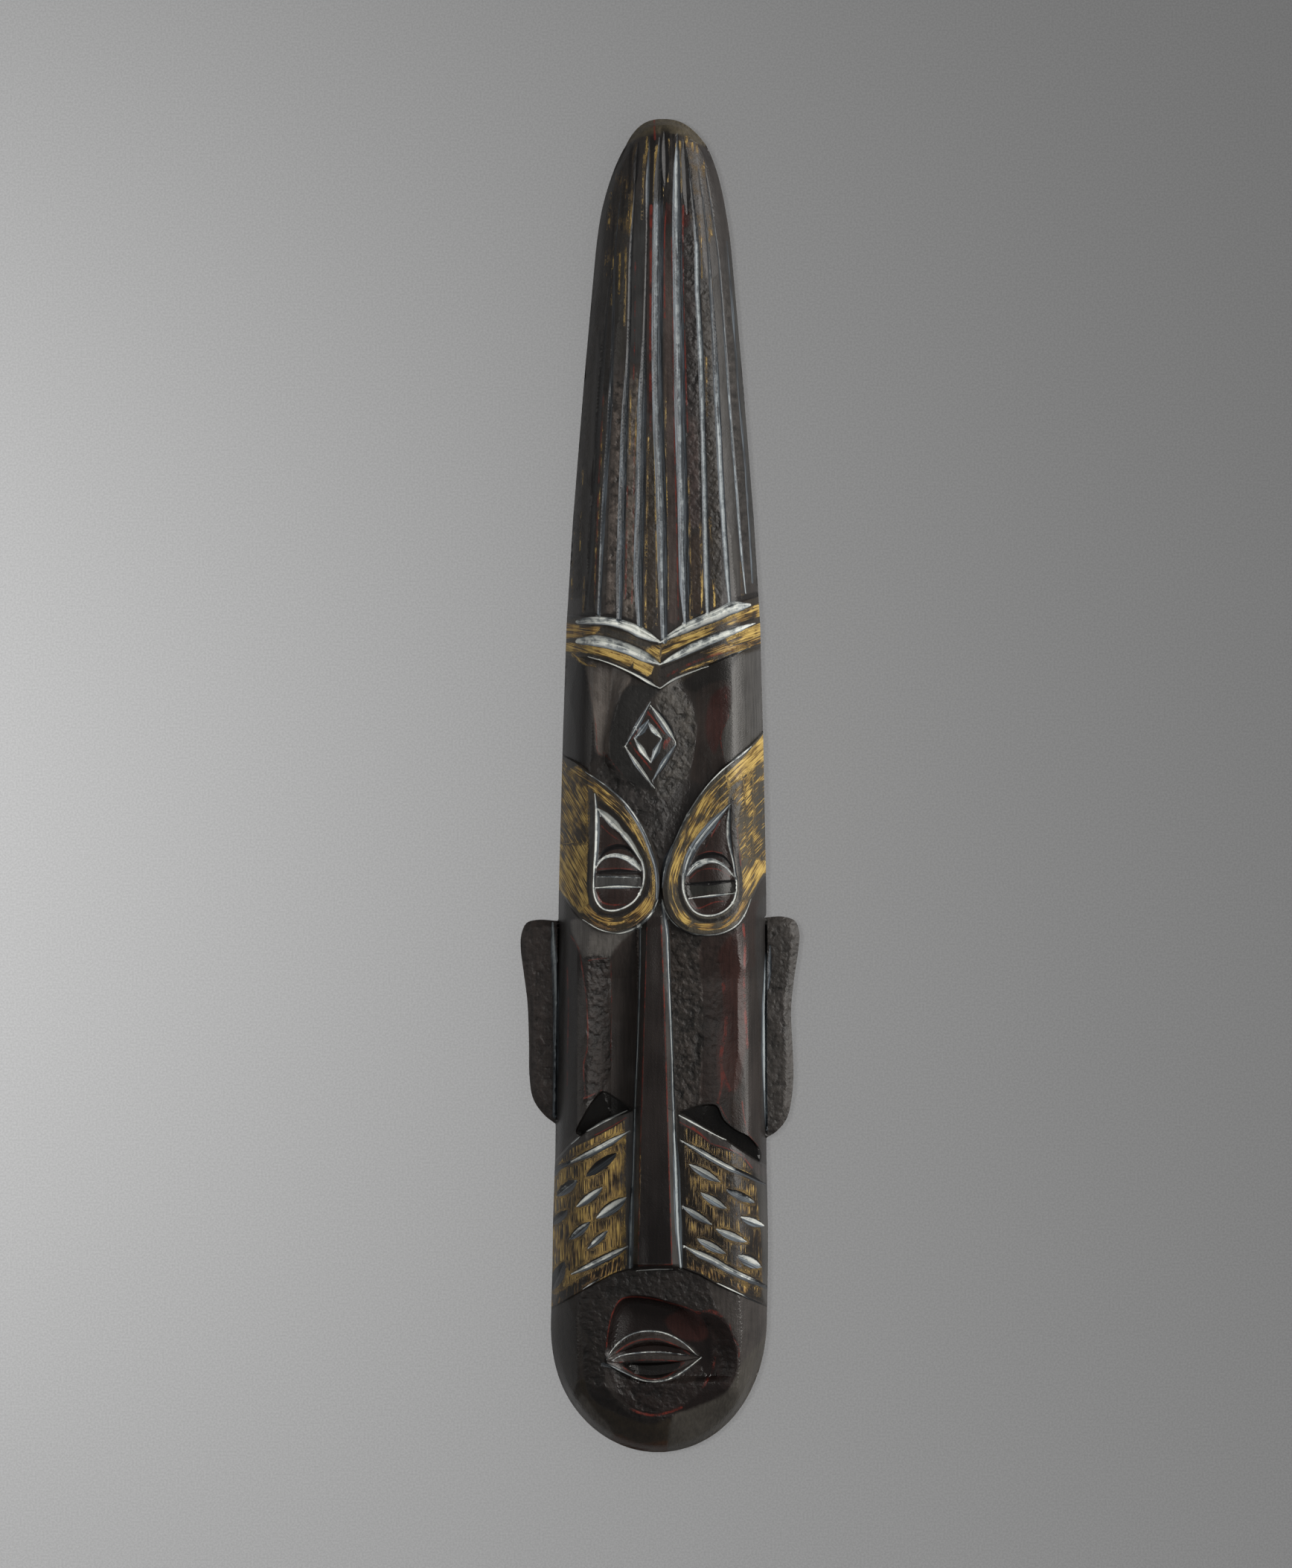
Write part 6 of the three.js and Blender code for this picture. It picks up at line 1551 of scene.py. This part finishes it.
def carving():
    """The mask's mesh, with its paint kept at its points."""
    plan = Plan()
    work = features()
    for feature in work:
        feature.trace(plan)
    places, faces, sharp = plan.triangles(RIM, FILL_STEP)
    front = Front(places)
    for feature in work:
        feature.carve(front)
    pitted(front)
    points, faces = closed_mesh(front, faces)
    mesh = bpy.data.meshes.new("carved_mask")
    mesh.from_pydata((points * MM).tolist(), [], faces)
    mesh.update()
    store(mesh, "tone", "FLOAT_COLOR", front.tone, linear(*SIDE_WOOD))
    store(mesh, "rough", "FLOAT", front.rough, SIDE_ROUGHNESS)
    store(mesh, "relief", "FLOAT", front.relief, 0)
    for kind, layers in front.paint.items():
        store(mesh, kind, "FLOAT_VECTOR", layers, UNPAINTED)
    for name, layers in (("stroke", front.stroke), ("look", front.look), ("sheen_film", front.sheen_film)):
        store(mesh, name, "FLOAT_VECTOR", layers, (0, 0, 0))
    mark_sharp(mesh, sharp)
    return mesh


mesh = carving()
mask = bpy.data.objects.new("mask_carving", mesh)
bpy.context.scene.collection.objects.link(mask)
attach(mask, "root")
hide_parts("mask")


# Materials: how high the brush's marks must be to show gold where it covers least, how much less where it
# covers all, and the screen colours of the paints, among them the dark lacquer, which is partly painted
# shade, the painted shade in cuts, and the bluish white in cuts, which is white paint with painted sheen.
GOLD_LIMIT, GOLD_LIMIT_DROP = 0.67, 0.34
GLAZE, GOLD_LOW, GOLD_HIGH, GOLD_BROWN = (82, 60, 30), (110, 84, 40), (218, 186, 106), (124, 76, 34)
DARK_LACQUER_AND_SHADE, WORN_RED = (24, 21, 20), (122, 46, 36)
CUT_SHADE, CUT_SHEEN_FILM, CUT_GREY, CUT_WHITE = (26, 25, 26), (124, 134, 143), (152, 163, 170), (238, 241, 235)


def colour(red, green, blue):
    """A shader's colour from an 8-bit screen colour."""
    return (*linear(red, green, blue), 1.0)


class Shader:
    """A material's nodes, added one after the other."""

    def __init__(self, name):
        self.material = bpy.data.materials.new(name)
        self.material.use_nodes = True
        self.tree = self.material.node_tree
        self.surface = self.tree.nodes["Principled BSDF"]

    def node(self, kind, inputs=(), **settings):
        made = self.tree.nodes.new(kind)
        for name, value in settings.items():
            setattr(made, name, value)
        for place, value in dict(inputs).items():
            self.put(value, made.inputs[place])
        return made

    def put(self, value, socket):
        if isinstance(value, bpy.types.NodeSocket):
            self.tree.links.new(value, socket)
        else:
            socket.default_value = value

    def math(self, way, a, b=0.0, clamp=False):
        return self.node("ShaderNodeMath", {0: a, 1: b}, operation=way, use_clamp=clamp).outputs[0]

    def plus(self, a, b, clamp=False):
        return self.math("ADD", a, b, clamp)

    def minus(self, a, b):
        return self.math("SUBTRACT", a, b)

    def times(self, a, b, clamp=False):
        return self.math("MULTIPLY", a, b, clamp)

    def step(self, value, low, high, start=0.0, end=1.0):
        return self.node("ShaderNodeMapRange", {"Value": value, "From Min": low, "From Max": high,
                                                "To Min": start, "To Max": end},
                         interpolation_type="SMOOTHSTEP").outputs[0]

    def mix(self, share, a, b):
        return self.node("ShaderNodeMix", {0: share, 6: a, 7: b}, data_type="RGBA").outputs[2]

    def mix_value(self, share, a, b):
        return self.node("ShaderNodeMix", {0: share, 2: a, 3: b}, data_type="FLOAT").outputs[0]

    def stored(self, name, output="Fac"):
        return self.node("ShaderNodeAttribute", attribute_name=name).outputs[output]

    def parts(self, vector):
        return self.node("ShaderNodeSeparateXYZ", {0: vector}).outputs[:3]

    def joined(self, x, y, z):
        return self.node("ShaderNodeCombineXYZ", {0: x, 1: y, 2: z}).outputs[0]

    def scaled(self, vector, factor):
        return self.node("ShaderNodeVectorMath", {0: vector, "Scale": factor}, operation="SCALE").outputs[0]

    def noise(self, vector, scale, detail=2.0, rough=0.5):
        return self.node("ShaderNodeTexNoise", {"Vector": vector, "Scale": scale, "Detail": detail,
                                                "Roughness": rough}).outputs["Fac"]


class Lacquer(Shader):
    """The mask's wood under dark lacquer, its gold, red and dark paint and the white in its cuts."""

    def __init__(self):
        super().__init__("lacquered_wood")
        self.place = self.scaled(self.node("ShaderNodeTexCoord").outputs["Object"], 1 / MM)
        self.rough = self.stored("rough")
        along, across, seed = self.parts(self.stored("stroke", "Vector"))
        self.hairs = self.noise(self.joined(along, across, seed), 1, 3, 0.6)
        bristles = self.joined(self.times(along, 0.55), self.times(across, 1.8), seed)
        self.bristle = self.noise(bristles, 1, 3, 0.6)
        self.fibre = self.noise(self.joined(along, self.times(across, 3), seed), 1, 2, 0.6)
        self.wobble = self.times(self.minus(self.noise(self.place, 0.7, 3), 0.5), 0.6)
        self.mottle = self.noise(self.place, 0.05, 3)
        self.speck = self.noise(self.place, 1.6, 3, 0.6)
        x, y, z = self.parts(self.place)
        self.grain = self.noise(self.joined(self.times(x, 1.3), self.times(y, 0.06), z), 1, 4, 0.5)

    def wood(self):
        """Wood under lacquer: broad mottling, streaks along the grain, and painted light on the chips' tops
        with painted shade in the dents.
        """
        shade = self.step(self.mottle, 0.3, 0.7, 0.5, 0.8)
        shade = self.plus(shade, self.step(self.grain, 0.3, 0.7, -0.13, 0.13))
        # Painted light on the chips' tops and painted shade in the dents.
        shade = self.plus(shade, self.times(self.stored("relief"), 0.85))
        shade = self.plus(shade, self.times(self.minus(self.speck, 0.5), self.times(self.rough, 1.2)))
        return self.scaled(self.stored("tone", "Color"), self.math("MAXIMUM", shade, 0.2))

    def gilding(self, surface):
        """Gold, brushed on dry along the strokes, over a thin brown glaze: the surface, and where gold is."""
        depth, cover, brown = self.parts(self.stored("gold", "Vector"))
        clumps = self.noise(self.place, 0.14, 2)
        limit = self.minus(GOLD_LIMIT, self.times(cover, GOLD_LIMIT_DROP))
        limit = self.minus(limit, self.step(clumps, 0.25, 0.75, -0.08, 0.08))
        over = self.minus(self.plus(self.times(self.hairs, 0.52), self.times(self.bristle, 0.48)), limit)
        over = self.plus(over, self.times(self.minus(self.fibre, 0.5), 0.36))
        edge = self.step(self.plus(depth, self.minus(self.bristle, 0.5)), -0.15, 0.25)
        glaze = self.times(self.step(over, -0.11, 0.0, 0, 0.36), edge)
        gold = self.times(self.step(over, -0.03, 0.05), edge)
        bright = self.plus(self.step(over, 0.0, 0.18, 0, 0.7),
                           self.step(self.fibre, 0.35, 0.65, -0.25, 0.35), clamp=True)
        shine = self.mix(bright, colour(*GOLD_LOW), colour(*GOLD_HIGH))
        shine = self.mix(self.times(brown, 0.6, clamp=True), shine, colour(*GOLD_BROWN))
        return self.mix(gold, self.mix(glaze, surface, colour(*GLAZE)), shine), gold

    def edges(self, surface):
        """Dark lacquer, partly painted shade in slots and beside raised edges, and worn red along the edges.
        """
        depth, amount, _ = self.parts(self.stored("dark", "Vector"))
        dark = self.times(self.step(self.plus(depth, self.wobble), -0.25, 0.35), amount)
        surface = self.mix(dark, surface, colour(*DARK_LACQUER_AND_SHADE))
        depth, amount, _ = self.parts(self.stored("red", "Vector"))
        patches = self.noise(self.place, 0.22, 3, 0.6)
        patches = self.plus(patches, self.times(self.minus(self.fibre, 0.5), 0.5))
        patches = self.step(self.plus(patches, self.times(amount, 0.3)), 0.53, 0.86)
        red = self.times(self.step(self.plus(depth, self.times(self.wobble, 0.7)), -0.05, 0.35), patches)
        return self.mix(self.times(red, 0.85), surface, colour(*WORN_RED))

    def cuts(self, surface):
        """A bright line of white in each cut, with thin bluish white (white paint with painted sheen) and
        painted shade beside it, and where it is.
        """
        inner, amount, across = self.parts(self.stored("white", "Vector"))
        peak, width, tint = self.parts(self.stored("look", "Vector"))
        upper, lower, _ = self.parts(self.stored("sheen_film", "Vector"))
        groove = self.step(self.plus(inner, self.times(self.wobble, 0.5)), -0.12, 0.12)
        off = self.minus(across, peak)
        sheen_film = self.mix_value(self.step(off, -0.12, 0.12), lower, upper)
        sheen_film = self.times(sheen_film, self.plus(self.times(amount, 1.2), 0.3, clamp=True))
        sheen_film = self.times(sheen_film, self.step(self.bristle, 0.36, 0.62, 0.35, 1.15))
        sheen_film = self.times(sheen_film, self.step(self.fibre, 0.34, 0.6, 0.25, 1.1))
        sheen_film = self.times(sheen_film, self.step(inner, -0.1, 0.25, 0.1, 1), clamp=True)
        body = self.plus(amount, self.step(self.noise(self.place, 0.3, 3, 0.6), 0.3, 0.7, -0.4, 0.2))
        body = self.plus(body, self.step(self.bristle, 0.35, 0.65, -0.3, 0.15))
        away = self.math("ABSOLUTE", self.plus(off, self.times(self.wobble, 0.35)))
        near = self.step(self.math("DIVIDE", away, width), 1.25, 0.45)
        white = self.times(near, self.step(body, 0.15, 0.8))
        tint = self.times(self.step(body, 0.4, 1.0, 0.3, 1), tint)
        paint = self.mix(sheen_film, colour(*CUT_SHADE), colour(*CUT_SHEEN_FILM))
        paint = self.mix(white, paint, self.mix(tint, colour(*CUT_GREY), colour(*CUT_WHITE)))
        return self.mix(groove, surface, paint), self.times(white, groove)

    def finish(self, gold, white):
        """Give the paint and the wood their gloss and small bumps."""
        paint = self.math("MAXIMUM", self.times(gold, 0.7), white)
        gloss = self.plus(self.times(self.rough, 0.25), 0.33)
        gloss = self.plus(gloss, self.step(self.mottle, 0.3, 0.7, -0.03, 0.05))
        self.put(self.plus(gloss, self.times(paint, 0.15), clamp=True), self.surface.inputs["Roughness"])
        chips = self.times(self.noise(self.place, 0.75, 3, 0.6), self.times(self.rough, 1.6))
        height = self.plus(self.times(self.speck, 0.4), self.plus(chips, self.times(self.grain, 0.05)))
        height = self.plus(height, self.times(self.times(paint, self.bristle), 0.6))
        bump = self.node("ShaderNodeBump", {"Height": height, "Strength": 0.5, "Distance": 0.4 * MM})
        self.put(bump.outputs[0], self.surface.inputs["Normal"])


def lacquer():
    """The mask's material, from the wood up to the white in its cuts."""
    shader = Lacquer()
    surface, gold = shader.gilding(shader.wood())
    surface, white = shader.cuts(shader.edges(surface))
    shader.put(surface, shader.surface.inputs["Base Color"])
    shader.finish(gold, white)
    return shader.material


mesh.materials.append(lacquer())


# The floor, the light and the camera. The height of the frame, the aim and the sensor are in millimetres, the
# rest is in metres.
WARM_LIGHT, WORLD_LIGHT = (1, 0.97, 0.93), 0.11
FLOOR_REACH, FLOOR_GRAIN, FLOOR_GREYS = 4.0, 1400, (0.465, 0.54)
FRAME_HEIGHT, AIM, SENSOR = 589.4, (-5.3, 0.6), 36
CAMERA_HEIGHT, CAMERA_REACH = 4.5, 50


def make_floor():
    """A pale rough floor, seen by the camera as the backdrop."""
    made = bpy.data.meshes.new("floor")
    reach = FLOOR_REACH
    corners = [(-reach, -reach, 0), (reach, -reach, 0), (reach, reach, 0), (-reach, reach, 0)]
    made.from_pydata(corners, [], [(0, 1, 2, 3)])
    found = bpy.data.objects.new("floor", made)
    bpy.context.scene.collection.objects.link(found)
    shader = Shader("floor")
    place = shader.node("ShaderNodeTexCoord").outputs["Object"]
    grain = shader.step(shader.noise(place, FLOOR_GRAIN, 2), 0.3, 0.7, *FLOOR_GREYS)
    shader.put(shader.joined(grain, grain, grain), shader.surface.inputs["Base Color"])
    shader.put(1.0, shader.surface.inputs["Roughness"])
    shader.put(0.2, shader.surface.inputs["Specular IOR Level"])
    made.materials.append(shader.material)
    return found


def lamp(name, place, aim, size, power, lit, shaded=True):
    """A round soft light on one object only, which may or may not be shaded by the others."""
    light = bpy.data.lights.new(name, "AREA")
    light.shape, light.size, light.energy = "DISK", size, power
    light.color = WARM_LIGHT if lit is mask else (1, 1, 1)
    found = bpy.data.objects.new(name, light)
    found.location = place
    found.rotation_euler = (Vector(aim) - Vector(place)).to_track_quat("-Z", "Y").to_euler()
    found.visible_camera = False
    bpy.context.scene.collection.objects.link(found)
    only = bpy.data.collections.new(name + "_only")
    only.objects.link(lit)
    found.light_linking.receiver_collection = only
    if not shaded:
        found.light_linking.blocker_collection = only


ground = make_floor()
lamp("key", (1.65, 0.45, 1.15), (0, 0, 0), 2.2, 50, mask)
lamp("fill", (-1.5, 0.2, 1.5), (0, 0, 0), 1.4, 5.5, mask)
lamp("backdrop_left", (-0.45, 0, 0.5), (-0.45, 0, 0), 0.25, 2.85, ground, shaded=False)
lamp("backdrop_foot", (0, -0.8, 0.6), (0, -0.8, 0), 0.25, 1.6, ground, shaded=False)
lamp("backdrop", (-0.45, 0.1, 3.2), (0, 0, 0), 0.4, 9, ground)
world = bpy.data.worlds.new("studio")
world.use_nodes = True
world.node_tree.nodes["Background"].inputs["Color"].default_value = (1, 1, 1, 1)
world.node_tree.nodes["Background"].inputs["Strength"].default_value = WORLD_LIGHT
bpy.context.scene.world = world
bpy.context.scene.view_settings.view_transform = "Standard"

camera = bpy.data.cameras.new("camera")
camera.sensor_fit, camera.sensor_height = "VERTICAL", SENSOR
camera.lens = SENSOR * CAMERA_HEIGHT / (FRAME_HEIGHT * MM)
camera.clip_end = CAMERA_REACH
eye = bpy.data.objects.new("camera", camera)
eye.location = (AIM[0] * MM, AIM[1] * MM, CAMERA_HEIGHT)
bpy.context.scene.collection.objects.link(eye)
bpy.context.scene.camera = eye
